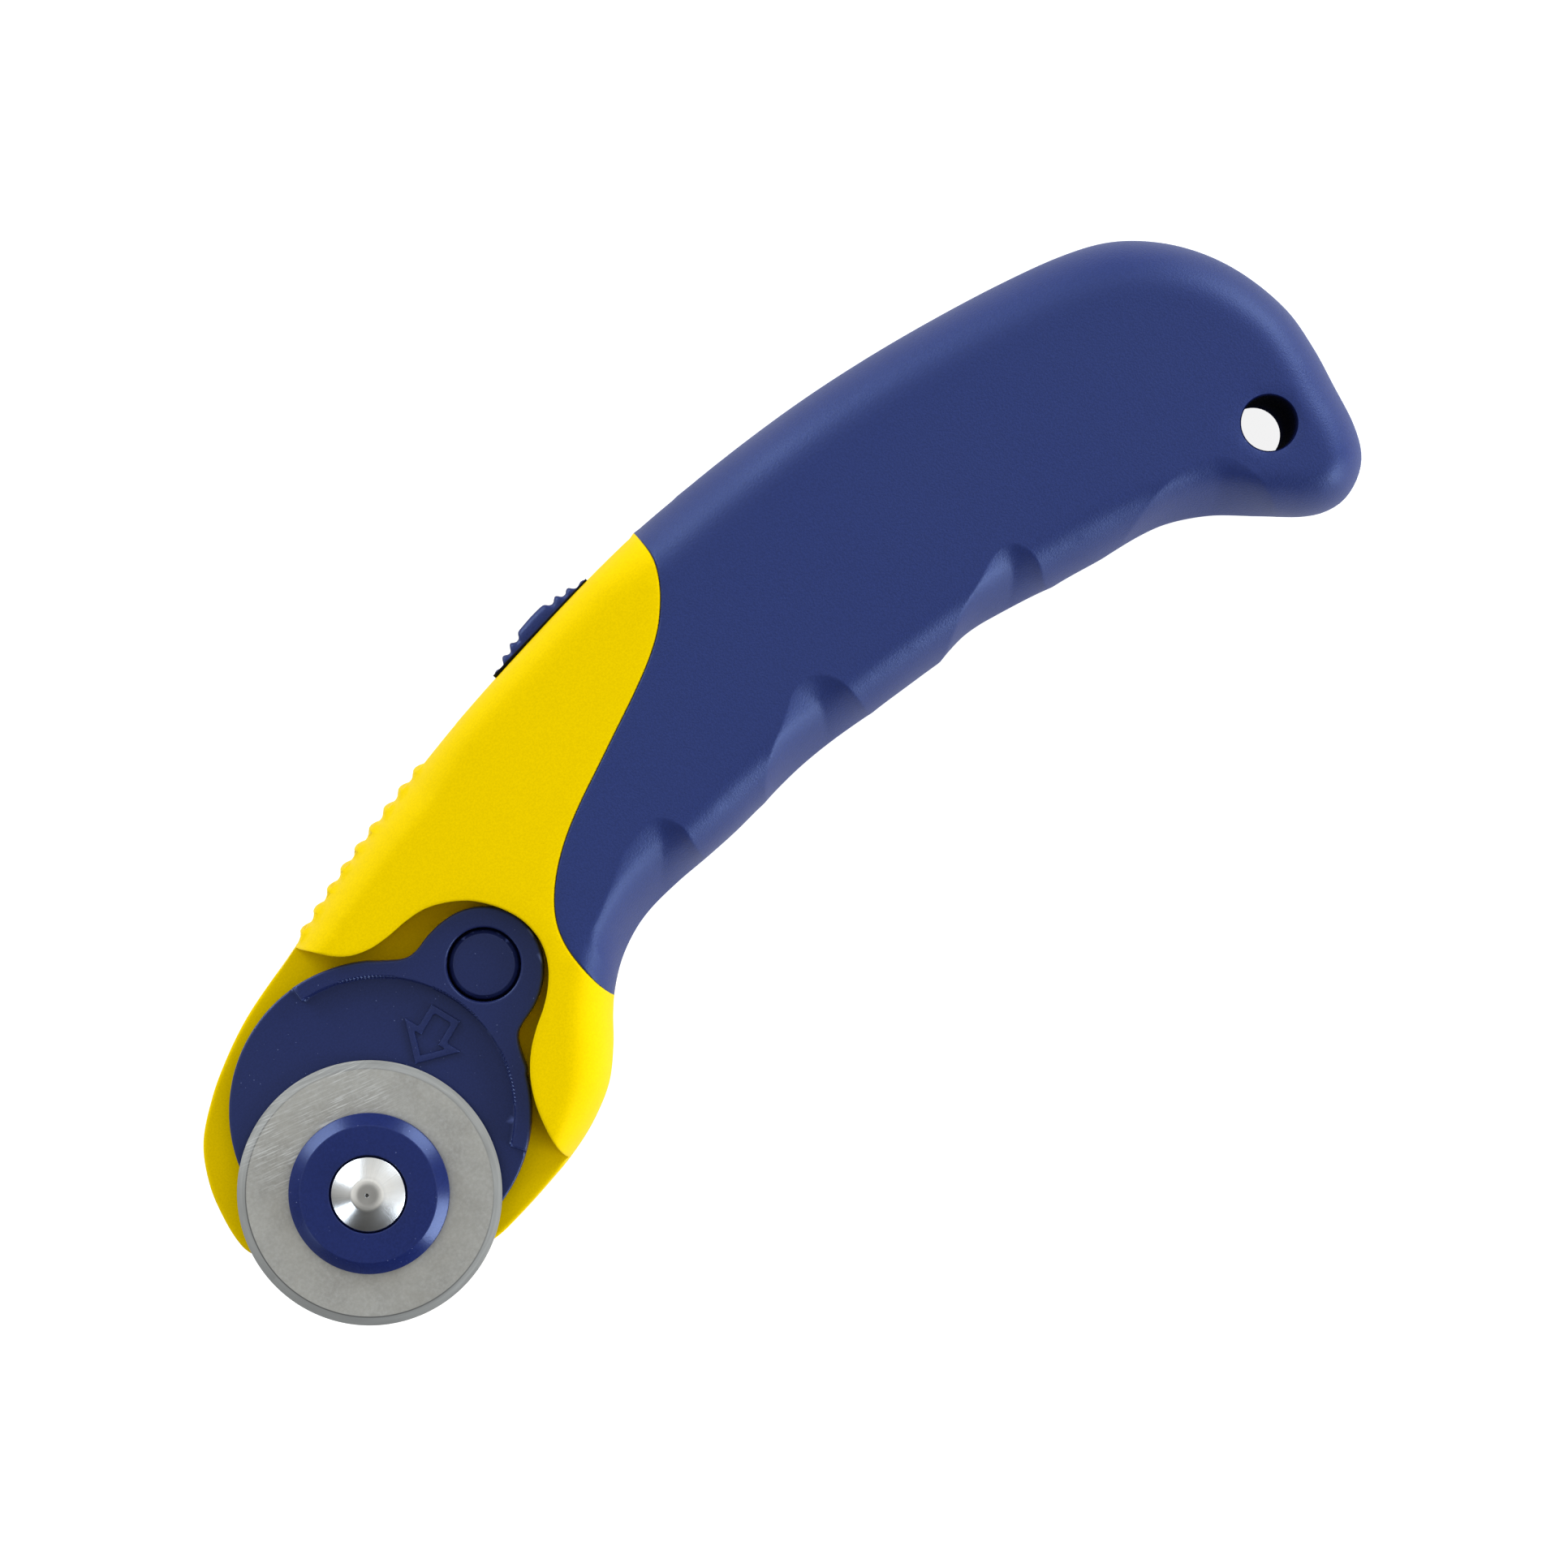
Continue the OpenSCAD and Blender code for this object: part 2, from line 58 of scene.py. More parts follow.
# ---------------------------------------------------------------- camera
cam_data = bpy.data.cameras.new("camera")
cam = bpy.data.objects.new("camera", cam_data)
bpy.context.scene.collection.objects.link(cam)
cam_data.sensor_width = 36.0
cam_data.lens = 109.8
cam_data.clip_start, cam_data.clip_end = 0.01, 20.0
cam.location = at(61.36, 2.81, 520.0)
cam.rotation_euler = (0.0, 0.0, math.radians(-42.0))
bpy.context.scene.camera = cam

# ---------------------------------------------------------------- curves


def catmull(points, n, closed):
    p = np.array(points, float)
    count = len(p)
    out = []
    for i in range(count) if closed else range(1, count - 2):
        a, b, c, d = p[(i - 1) % count], p[i % count], p[(i + 1) % count], p[(i + 2) % count]
        for k in range(n):
            t = k / n
            out.append(0.5 * (2 * b + (c - a) * t + (2 * a - 5 * b + 4 * c - d) * t * t + (3 * b - a - 3 * c + d) * t**3))
    if not closed:
        out.append(p[count - 2])
    return np.array(out)


def resample(p, step, closed):
    """The same curve with points about step(x, y) apart."""
    q = np.vstack([p, p[:1]]) if closed else p
    seg = np.linalg.norm(np.diff(q[:, :2], axis=0), axis=1)
    mid = (q[1:, :2] + q[:-1, :2]) / 2
    want = np.array([step(x, y) for x, y in mid])
    s = np.concatenate([[0], np.cumsum(seg / want)])
    n = max(3, int(round(s[-1])))
    at_s = np.linspace(0, s[-1], n + 1)
    if closed:
        at_s = at_s[:-1]
    return np.stack([np.interp(at_s, s, q[:, c]) for c in range(q.shape[1])], axis=1)


def inward(p):
    """Unit normals to the left of a closed curve."""
    t = np.roll(p[:, :2], -1, 0) - np.roll(p[:, :2], 1, 0)
    t /= np.linalg.norm(t, axis=1)[:, None]
    return np.stack([-t[:, 1], t[:, 0]], axis=1)


def nearest(q, p, closed=True):
    """Signed distance of each point of q from the curve p (positive on its left), and where on p it is."""
    a = p[:, :2] if closed else p[:-1, :2]
    b = np.roll(p[:, :2], -1, 0) if closed else p[1:, :2]
    d = b - a
    ll = np.maximum((d**2).sum(1), 1e-12)
    dist, idx, par = np.empty(len(q)), np.empty(len(q), int), np.empty(len(q))
    for s in range(0, len(q), 1500):
        c = q[s : s + 1500]
        w = c[:, None, :] - a[None]
        t = np.clip((w * d).sum(2) / ll, 0, 1)
        r = w - t[..., None] * d
        r2 = (r**2).sum(2)
        i = r2.argmin(1)
        k = np.arange(len(c))
        sign = np.where(d[i, 0] * w[k, i, 1] - d[i, 1] * w[k, i, 0] >= 0, 1.0, -1.0)
        dist[s : s + 1500] = np.sqrt(r2[k, i]) * sign
        idx[s : s + 1500] = i
        par[s : s + 1500] = t[k, i]
    return dist, idx, par


def along(p, idx, par, col):
    nxt = (idx + 1) % len(p)
    return p[idx, col] * (1 - par) + p[nxt, col] * par


def inside(q, p):
    x, y = q[:, 0], q[:, 1]
    hit = np.zeros(len(q), bool)
    a, b = p[:, :2], np.roll(p[:, :2], -1, 0)
    for (x1, y1), (x2, y2) in zip(a, b):
        if y1 == y2:
            continue
        hit ^= ((y1 > y) != (y2 > y)) & (x < (x2 - x1) * (y - y1) / (y2 - y1) + x1)
    return hit


def circle(cx, cy, r, n):
    a = np.arange(n) * 2 * math.pi / n
    return np.stack([cx + r * np.cos(a), cy + r * np.sin(a)], axis=1)


def prof(t):
    t = np.clip(t, 0, 1)
    return np.sqrt(1 - (1 - t) ** 2)


def smin(a, b, k):
    h = np.clip(k - np.abs(a - b), 0, None) / k
    return np.minimum(a, b) - h * h * k / 4


def smax(a, b, k):
    return -smin(-a, -b, k)


def table(rows):
    """A smooth curve through (x, value) rows, to look values up in."""
    r = np.array(rows, float)
    ends = np.vstack([2 * r[0] - r[1], r, 2 * r[-1] - r[-2]])
    return catmull(ends, 8, False)


def look(x, t):
    return np.interp(x, t[:, 0], t[:, 1])


def drop(dist, r):
    """How far a rounded edge of radius r lies below the face at that distance from the edge."""
    u = np.clip(r - dist, 0, r)
    return r - np.sqrt(np.maximum(r * r - u * u, 0))


# ---------------------------------------------------------------- the tool's shape

# Outline at the parting plane without the finger scoops: x, y, width of the rounding.
BASE_POINTS = [
    (135, 4.4, 5.4), (134.3, 9.8, 5.6), (132.6, 14.6, 5.8), (129.8, 18.9, 6.0), (125.9, 22.5, 6.2),
    (121, 24.9, 6.3), (114, 27.1, 6.4), (106, 29.1, 6.4), (98, 30.75, 6.4), (90, 32, 6.4), (82, 32.8, 6.4),
    (74, 33.25, 6.3), (66.5, 33.3, 6.1), (58, 32.8, 5.8), (50, 32.1, 5.5), (42, 31.25, 5.2),
    (34, 30.1, 5.0), (27, 28.85, 4.6), (20, 27.3, 4.4), (14, 25.65, 3.9), (10, 24.58, 3.3), (6, 23.6, 1.3),
    (2, 22.5, 1.1), (-2, 20.9, 1.1), (-6, 18.8, 1.1), (-10, 15.8, 1.1), (-12.5, 12, 1.1),
    (-13.8, 8.2, 1.1), (-14.3, 5.2, 1.1), (-14, 3.4, 1.1), (-12.8, 2, 1.1), (-8, -1.8, 1.1),
    (-3, -5.8, 1.1), (2, -9.8, 1.1), (4.4, -11.7, 1.1), (6.4, -12.6, 1.1), (10, -12.5, 1.2),
    (14, -12.1, 1.6), (18, -11.5, 2.6), (22, -10.4, 3.6), (26, -8.5, 4.2), (29, -5.9, 4.4),
    (31.4, -3.2, 4.4), (33.4, -1.3, 4.4), (36, 0.5, 4.5), (39, 1.8, 4.6), (42, 2.45, 4.7),
    (46, 2.62, 4.8), (50, 2.5, 4.8), (54, 2.48, 4.8), (58, 2.66, 4.8), (62, 2.58, 4.8), (66, 2.42, 4.8),
    (70, 2.26, 4.8), (74, 2.12, 4.8), (78, 1.76, 4.8), (82, 1.36, 4.8), (86, 0.86, 4.9), (90, 0.29, 5.0),
    (94, -0.32, 5.1), (98, -0.98, 5.2), (102, -1.9, 5.2), (106, -2.8, 5.0), (110, -4.1, 4.7),
    (114, -6.35, 4.5), (117, -8.8, 4.4), (119.6, -11.2, 4.4), (121.6, -13, 4.4), (123.6, -14.2, 4.4),
    (126, -14.65, 4.4), (128.6, -13.9, 4.5), (130.7, -12.2, 4.7), (132.2, -9.2, 5.0),
    (133.3, -5, 5.2), (134.4, -0.5, 5.3)]

# Finger scoops on the lower edge: how far the outline moves in, the crease round each scoop, and how crisp its edge is at its two ends.
SCOOPS = [
    {"dent": [(34, 0), (42, 0), (51, 0)], "crisp": (0.1, 0.75),
     "crease": [(34.4, -2), (34.5, -0.2), (34.8, 2.9), (36, 4.8), (38, 5.75), (40, 6.8), (42, 7.85), (44, 8.75), (45.5, 9.15), (47, 9.4),
                (48.3, 9.35), (49.3, 8.95), (50, 8.1), (50.4, 7), (50.45, 6), (50.2, 4.8), (49.95, 3.6), (49.8, 2.5), (49.7, 1.2)]},
    {"dent": [(57.6, -0.15), (58.4, 0), (60, 0.2), (62, 0.38), (64, 0.5), (66, 0.53), (68, 0.48), (70, 0.36), (72, 0.17), (73.4, 0), (74, -0.1)],
     "crisp": (0.55, 0.8),
     "crease": [(58.2, 1.2), (58.5, 2.4), (59.2, 3.4), (60, 4.35), (61, 5.1), (62, 5.75), (63, 6.4), (64, 7), (65, 7.5), (66, 8), (67, 8.6),
                (68, 9.2), (69, 9.6), (70, 9.65), (71, 9.4), (71.8, 8.9), (72.5, 8.1), (73, 7.1), (73.2, 6), (73.25, 5), (73.2, 4), (73.1, 3),
                (73, 2), (73, 0.8)]},
    {"dent": [(81.4, -0.2), (82.4, 0), (84, 0.45), (86, 0.85), (88, 0.92), (90, 0.78), (92, 0.6), (94, 0.4), (95.5, 0.2), (96.8, 0), (98, -0.1)],
     "crisp": (0.55, 0.8),
     "crease": [(82.4, 0), (83.2, 1.3), (84, 2), (85, 2.6), (86, 3.1), (87, 3.55), (88, 4), (89, 4.35), (90, 4.65), (91, 5), (92, 5.4), (93, 5.8),
                (94, 6.05), (95, 6.05), (95.8, 5.75), (96.5, 5.1), (96.9, 4.2), (97, 3.2), (96.9, 2.2), (96.6, 1.3), (96.2, 0.4), (95.9, -0.6),
                (95.8, -1.8)]},
    {"dent": [(102, -0.2), (103, 0), (105, 0.1), (107, 0.22), (110, 0.3), (113, 0.25), (116, 0.1), (117.6, 0), (118.4, -0.1)],
     "crisp": (0.35, 0.3),
     "crease": [(103.2, -3.6), (104.2, -2.5), (106, -1.85), (108, -1.3), (110, -0.9), (112, -0.6), (114, -0.55), (115.5, -0.8), (117, -1.35),
                (118.2, -2), (119.1, -3), (119.6, -4.2), (119.9, -5.5), (120, -7), (119.9, -8.6), (119.7, -10.2), (119.5, -12), (119.4, -13.4)]},
]
for _s in SCOOPS:
    _s["dent"] = table(_s["dent"])
    _s["crease"] = catmull([_s["crease"][0]] + _s["crease"] + [_s["crease"][-1]], 8, False)

RIDGE_X = [12.95 + 2.54 * i for i in range(9)]


def ridge(x):
    """Height of the thumb ridges over the top edge."""
    b = np.zeros_like(x)
    for c in RIDGE_X:
        b = np.maximum(b, 0.48 * (0.5 + 0.5 * np.cos(np.pi * np.clip(np.abs(x - c) / 1.06, 0, 1))) ** 0.5)
    return b


def edge_step(x, y):
    if y < 12 and (45 < x < 52 or 57 < x < 75 or 81 < x < 99 or 102 < x < 120):
        return 0.36
    if y > 22 and 12 < x < 35:
        return 0.16
    if x < 34:
        return 0.5
    return 0.75


BASE = resample(catmull(BASE_POINTS, 24, True), edge_step, True)


def dent_at(x, y):
    """Signed inward shift of the outline: scoops are positive, ridges negative."""
    v = np.zeros_like(x)
    low = y < 12
    for s in SCOOPS:
        m = low & (x > s["dent"][0, 0]) & (x < s["dent"][-1, 0])
        v = np.where(m, np.maximum(v, look(x, s["dent"])), v)
    v = np.where((y > 22) & (x > 60), -0.2 * np.interp(x, [66.3, 66.9, 69, 78], [0, 1, 0.8, 0]), v)
    top = (y > 22) & (x > 11) & (x < 36)
    return np.where(top, -ridge(x), v)


EDGE = BASE.copy()
EDGE[:, :2] += inward(BASE) * dent_at(BASE[:, 0], BASE[:, 1])[:, None]
EDGE_IN = inward(BASE)

SEAM = resample(catmull([
    (67.2, 40), (67.3, 36), (67.35, 33), (67.1, 30), (66.2, 27.9), (64.6, 25.8), (62.3, 23.7), (59.5, 22), (56, 20.4),
    (52, 18.8), (48, 17.2), (44, 15.6), (40.5, 13.9), (37.6, 12), (35.3, 9.9), (33.8, 7.8), (33, 5.6), (32.7, 3.2),
    (32.65, 0.5), (32.8, -1.5), (33, -5), (33, -9)], 16, False), lambda x, y: 0.6, False)
SEAM_SIDE = np.vstack([SEAM, [(33, -60), (200, -60), (200, 80), (67.3, 80)]])

RECESS = resample(catmull([
    (9, 30), (10, 27), (11.2, 24.7), (12.6, 22.9), (14, 21.1), (15.4, 19.9), (17.3, 19.1), (19.6, 18.8), (22, 18.75),
    (24.3, 18.4), (26.5, 17.4), (28.6, 15.8), (30.2, 13.6), (31.2, 11.2), (31.45, 9), (31.1, 7), (30.1, 5.1), (28.6, 3.5),
    (26.8, 2.2), (24.8, 1.1), (22.8, -0.3), (21, -2.2), (19.6, -4.5), (18.6, -7.2), (18, -10), (17.8, -14), (17.8, -18)],
    16, False), lambda x, y: 0.45, False)
RECESS_SIDE = np.vstack([RECESS, [(17.8, -60), (-60, -60), (-60, 60), (9.5, 60)]])

HANG = (124.6, -3.1, 2.95)
SLOPE = math.radians(4.5)
TRAVEL = 8.4
TURN = math.radians(16)
P0 = np.array([25.1, 9.85])
DIR = np.array([-math.cos(SLOPE), -math.sin(SLOPE)])
P1 = P0 + TRAVEL * DIR
SCREWS = [(25.4, -3.6), (19.6, 22.9), (50, 13.5), (84, 17), (112, 8)]


def rot(v, a):
    return np.array([v[0] * math.cos(a) - v[1] * math.sin(a), v[0] * math.sin(a) + v[1] * math.cos(a)])


C0 = P0 + rot(-P1, -TURN)


def track_rect(x0, x1, y0, y1):
    return np.array([np.array([48.6, 28]) + rot(np.array(c, float), SLOPE) for c in ((x0, y0), (x1, y0), (x1, y1), (x0, y1))])


SLOT = resample(track_rect(-8.7, 8.9, -4, 8), lambda x, y: 0.3, True)


def obround(a, b, r, n):
    u = (b - a) / np.linalg.norm(b - a)
    ang = math.atan2(u[1], u[0])
    one = [a + r * np.array([math.cos(t), math.sin(t)]) for t in np.linspace(ang + math.pi / 2, ang + 3 * math.pi / 2, n)]
    two = [b + r * np.array([math.cos(t), math.sin(t)]) for t in np.linspace(ang - math.pi / 2, ang + math.pi / 2, n)]
    return np.array(one + two)


PIN_WAY = obround(P1, P0, 3.1, 20)[::-1]


def plain_face(q):
    """The front face without scoops: height, distance in from the outline, width of the rounding, and the outline's x and y."""
    d, i, t = nearest(q, BASE)
    x, y, w = (along(BASE, i, t, c) for c in (0, 1, 2))
    # squarer beside the slider's slot, so that the edge stays upright there
    n = np.where(y > 22, np.interp(x, [32, 40, 61, 68], [2.0, 3.0, 3.0, 2.0]), 2.0)
    t = np.clip(d / w, 0, 1)
    z = ZM + ZM * (1 - (1 - t) ** n) ** (1 / n)
    return np.maximum(z, ZM), d, w, x, y


for _s in SCOOPS:
    _s["area"] = np.vstack([_s["crease"][:, :2], [(_s["crease"][-1, 0], -40), (_s["crease"][0, 0], -40)]])


def face(q):
    """Height of the front face over the parting plane's outline, with the distance in from it."""
    z, d, w, x, y = plain_face(q)
    for s in SCOOPS:
        m = inside(q, s["area"])
        if not m.any():
            continue
        p = q[m]
        v = np.clip(nearest(p, EDGE)[0], 0, None)
        c, i, t = nearest(p, s["crease"], False)
        c = np.abs(c)
        x0, x1 = s["crease"][0, 0], s["crease"][-1, 0]
        crisp = np.interp(p[:, 0], [x0, x1], s["crisp"])
        r = v / np.maximum(v + c, 1e-6)
        g = (1 - crisp) * prof(r) + crisp * r**0.45
        deep = (z[m] - ZM) * (1 - g) * c / (c + 0.22)
        z[m] = np.where(v <= 0, ZM, np.maximum(z[m] - deep, ZM))
        z[m] = np.minimum(z[m], ZM + 22 * v)
    top = (y > 22) & (x > 11) & (x < 36)
    u = np.clip(d / 0.9, 0, 1)
    t = np.clip((d + ridge(x) * (1 - u * u * (3 - 2 * u))) / w, 0, 1)
    z = np.where(top, np.maximum(z, ZM + ZM * np.sqrt(1 - (1 - t) ** 2)), z)
    return np.maximum(z, ZM), d, w


# ---------------------------------------------------------------- terrain meshes


class Plan:
    """Points and lines in plan, triangulated once, from which closed solids are raised."""

    def __init__(self):
        self.pts, self.segs, self.grid = [], [], {}

    def _cell(self, x, y):
        return (int(x // 0.5), int(y // 0.5))

    def _add(self, x, y):
        self.pts.append((x, y))
        self.grid.setdefault(self._cell(x, y), []).append(len(self.pts) - 1)
        return len(self.pts) - 1

    def line(self, p, closed):
        ids = [self._add(float(x), float(y)) for x, y in p[:, :2]]
        self.segs += list(zip(ids, ids[1:])) + ([(ids[-1], ids[0])] if closed else [])

    def scatter(self, q, gap):
        for x, y in q:
            cx, cy = self._cell(x, y)
            near = False
            k = int(gap // 0.5) + 1
            for i in range(cx - k, cx + k + 1):
                for j in range(cy - k, cy + k + 1):
                    for n in self.grid.get((i, j), ()):
                        if (self.pts[n][0] - x) ** 2 + (self.pts[n][1] - y) ** 2 < gap * gap:
                            near = True
                            break
                    if near:
                        break
                if near:
                    break
            if not near:
                self._add(float(x), float(y))

    def solve(self):
        out = delaunay_2d_cdt([Vector(p) for p in self.pts], self.segs, [], 0, 1e-4)
        self.v = np.array([(p.x, p.y) for p in out[0]])
        self.t = np.array([f for f in out[2] if len(f) == 3], int)
        self.c = self.v[self.t].mean(1)
        return self


def raise_solid(name, plan, region, keep, top, bot):
    """A closed mesh over the triangles whose region is in keep. top and bot give, for each region, the two heights at every vertex of the plan."""
    use = np.isin(region, keep)
    tri, reg = plan.t[use], region[use]
    column = {}

    def vert(v, z):
        col = column.setdefault(v, [])
        for e in col:
            if abs(e[0] - z) < 2e-4:
                return e
        e = [z, None]
        col.append(e)
        return e

    tops = [[vert(v, top[r][v]) for v in t] for t, r in zip(tri, reg)]
    bots = [[vert(v, bot[r][v]) for v in t] for t, r in zip(tri, reg)]
    verts = []
    for v, col in column.items():
        col.sort(key=lambda e: e[0])
        for e in col:
            e[1] = len(verts)
            verts.append((plan.v[v][0], plan.v[v][1], e[0]))
    faces = []
    for up, dn in zip(tops, bots):
        a, b = [e[1] for e in up], [e[1] for e in dn]
        if a == b:
            continue
        faces.append(a)
        faces.append(b[::-1])
    edges = {}
    for n, t in enumerate(tri):
        for k in range(3):
            edges.setdefault(tuple(sorted((t[k], t[(k + 1) % 3]))), []).append((n, k, (k + 1) % 3))

    def wall(v1, z1a, z1b, v2, z2a, z2b):
        one = [e for e in column[v1] if min(z1a, z1b) - 1e-4 <= e[0] <= max(z1a, z1b) + 1e-4]
        two = [e for e in column[v2] if min(z2a, z2b) - 1e-4 <= e[0] <= max(z2a, z2b) + 1e-4]
        poly = [e[1] for e in one] + [e[1] for e in reversed(two)]
        if len(poly) >= 3 and (len(one) > 1 or len(two) > 1):
            faces.append(poly)

    for (v1, v2), hits in edges.items():
        def z(side, hit, v):
            n = hit[0]
            k = hit[1] if tri[n][hit[1]] == v else hit[2]
            return side[n][k][0]
        if len(hits) == 1:
            h = hits[0]
            wall(v1, z(tops, h, v1), z(bots, h, v1), v2, z(tops, h, v2), z(bots, h, v2))
        elif reg[hits[0][0]] != reg[hits[1][0]]:
            for side in (tops, bots):
                wall(v1, z(side, hits[0], v1), z(side, hits[1], v1), v2, z(side, hits[0], v2), z(side, hits[1], v2))
    return make(name, verts, faces)


def make(name, verts, faces, sharp=35.0, origin=None):
    """An object from vertices in millimetres in the drawing frame, shaded smooth but for sharp edges."""
    o = origin or (0.0, 0.0, 0.0)
    base = at(*o) if origin else (0.0, 0.0, 0.0)
    mesh = bpy.data.meshes.new(name)
    mesh.from_pydata([tuple(p - q for p, q in zip(at(*v), base)) for v in verts], [], faces)
    bm = bmesh.new()
    bm.from_mesh(mesh)
    bmesh.ops.remove_doubles(bm, verts=bm.verts, dist=1e-8)
    loose = [v for v in bm.verts if not v.link_faces]
    if loose:
        bmesh.ops.delete(bm, geom=loose, context="VERTS")
    bmesh.ops.recalc_face_normals(bm, faces=bm.faces)
    bm.to_mesh(mesh)
    bm.free()
    mesh.polygons.foreach_set("use_smooth", [True] * len(mesh.polygons))
    mesh.set_sharp_from_angle(angle=math.radians(sharp))
    obj = bpy.data.objects.new(name, mesh)
    obj.location = base
    bpy.context.scene.collection.objects.link(obj)
    return obj


RINGS = [0.03, 0.09, 0.18, 0.3, 0.45, 0.65, 0.9, 1.2, 1.55, 1.95, 2.4, 2.9, 3.45, 4.05, 4.7, 5.4, 6.2, 7.2]


def body_plan(features, loops):
    """The whole outline with rings that follow its rounding, lines along the features, and the flat inside."""
    plan = Plan()
    plan.line(EDGE, True)
    for p, closed in features:
        plan.line(p, closed)
    for p, closed in features + [(x, True) for x in loops]:
        pass
    for p in loops:
        plan.line(p, True)

    def clear(q, gap):
        ok = inside(q, EDGE)
        for p, closed in features + [(x, True) for x in loops]:
            d, _, _ = nearest(q, p, closed)
            ok &= np.abs(d) > gap
        return q[ok]

    for p, closed in features:
        n = inward(p)
        n[0], n[-1] = n[1], n[-2]
        for d in (0.07, 0.16, 0.3):
            for side in (1, -1):
                q = p[:, :2] + n * d * side
                plan.scatter(q[inside(q, EDGE)], 0.045)
    for s in SCOOPS:
        p = resample(s["crease"], lambda x, y: 0.34, False)
        n = inward(p)
        n[0], n[-1] = n[1], n[-2]
        for d in (0, 0.12, -0.12, 0.28, -0.28):
            q = p[:, :2] + n * d
            e, _, _ = nearest(q, EDGE)
            plan.scatter(q[e > 0.06], 0.08)
    for k, d in enumerate(RINGS):
        p = EDGE if d < 2.6 else EDGE[::2]
        n = EDGE_IN if d < 2.6 else EDGE_IN[::2]
        q = p[:, :2] + n * d
        far, _, _ = nearest(q, EDGE)
        q = q[far > 0.93 * d]
        gap = min(0.7 * (d - (RINGS[k - 1] if k else 0)), 0.34)
        plan.scatter(clear(q, min(0.3, 0.05 + 0.4 * d)), gap)
    for s in SCOOPS:
        lo, hi = s["crease"][:, :2].min(0), s["crease"][:, :2].max(0)
        q = np.array([(x, y) for x in np.arange(lo[0], hi[0], 0.34) for y in np.arange(lo[1], hi[1], 0.34)])
        q = q[inside(q, s["area"])]
        d, _, _ = nearest(q, EDGE)
        plan.scatter(clear(q[d > 0.25], 0.1), 0.24)
    xs, ys = np.arange(-16, 137, 1.6), np.arange(-16, 36, 1.4)
    q = np.array([(x + (0.8 if j % 2 else 0), y) for j, y in enumerate(ys) for x in xs])
    d, _, _ = nearest(q, EDGE)
    plan.scatter(clear(q[d > 1.5], 0.35), 0.9)
    return plan.solve()


WALL = 1.7


def inner(d, w, z):
    """Inside face of a shell half, for points d in from the outline and z high outside."""
    zi = ZM + 7.2 * prof((d - WALL) / np.maximum(w - 1.0, 1.0))
    return np.where(d <= WALL, ZM + 0.05, np.clip(np.minimum(zi, z - 1.5), ZM + 0.05, None))


hang = circle(*HANG, 48)
bush_hole = circle(0, 0, 3.45, 48)


def front_half():
    plan = body_plan([(SEAM, False), (RECESS, False)], [hang, bush_hole, PIN_WAY, SLOT])
    z, d, w = face(plan.v)
    rim = np.abs(nearest(plan.v, EDGE)[0]) < 2e-3
    ds = np.abs(nearest(plan.v, SEAM, False)[0])
    dr = np.abs(nearest(plan.v, RECESS, False)[0])
    low_z = Z_BLADE - 2.6
    grip = z - drop(ds, 0.28)
    upper = z - drop(ds, 0.28) - drop(dr, 0.26)
    floor = np.minimum(z, low_z) - drop(np.clip(nearest(plan.v, EDGE)[0], 0, None), 0.45)
    hole = np.hypot(plan.v[:, 0] - HANG[0], plan.v[:, 1] - HANG[1]) - HANG[2]
    grip = grip - drop(np.clip(hole, 0, None), 0.22)
    zi = inner(d, w, z)
    zi_grip = np.where(hole < 1.9, ZM + 0.05, zi)
    zi_up = np.where(dr < 1.8, np.minimum(zi, low_z - 1.8), zi)
    zi_floor = np.minimum(zi, low_z - 1.8)
    slot_in = np.maximum(zi_up, 11.1)
    slot_out = np.maximum(upper, 11.1)
    for a in (grip, upper, floor, zi_grip, zi_up, zi_floor):
        np.clip(a, ZM + 0.05, None, out=a)
        a[rim] = ZM + 0.05
    slot_out = np.maximum(upper, 11.1)
    slot_in = np.minimum(slot_in, slot_out)
    c = plan.c
    reg = np.full(len(c), -1)
    inn = inside(c, EDGE)
    blue = inside(c, SEAM_SIDE)
    reg[inn & blue] = 0
    reg[inn & ~blue] = 1
    reg[inn & ~blue & inside(c, RECESS_SIDE)] = 2
    reg[inn & inside(c, SLOT)] = 3
    reg[inside(c, hang) | inside(c, bush_hole) | inside(c, PIN_WAY)] = -1
    top = {0: grip, 1: upper, 2: floor, 3: slot_out}
    bot = {0: zi_grip, 1: zi_up, 2: zi_floor, 3: slot_in}
    yellow = raise_solid("front_shell", plan, reg, [1, 2, 3], top, bot)
    blue_half = raise_solid("front_grip", plan, reg, [0], top, bot)
    return yellow, blue_half


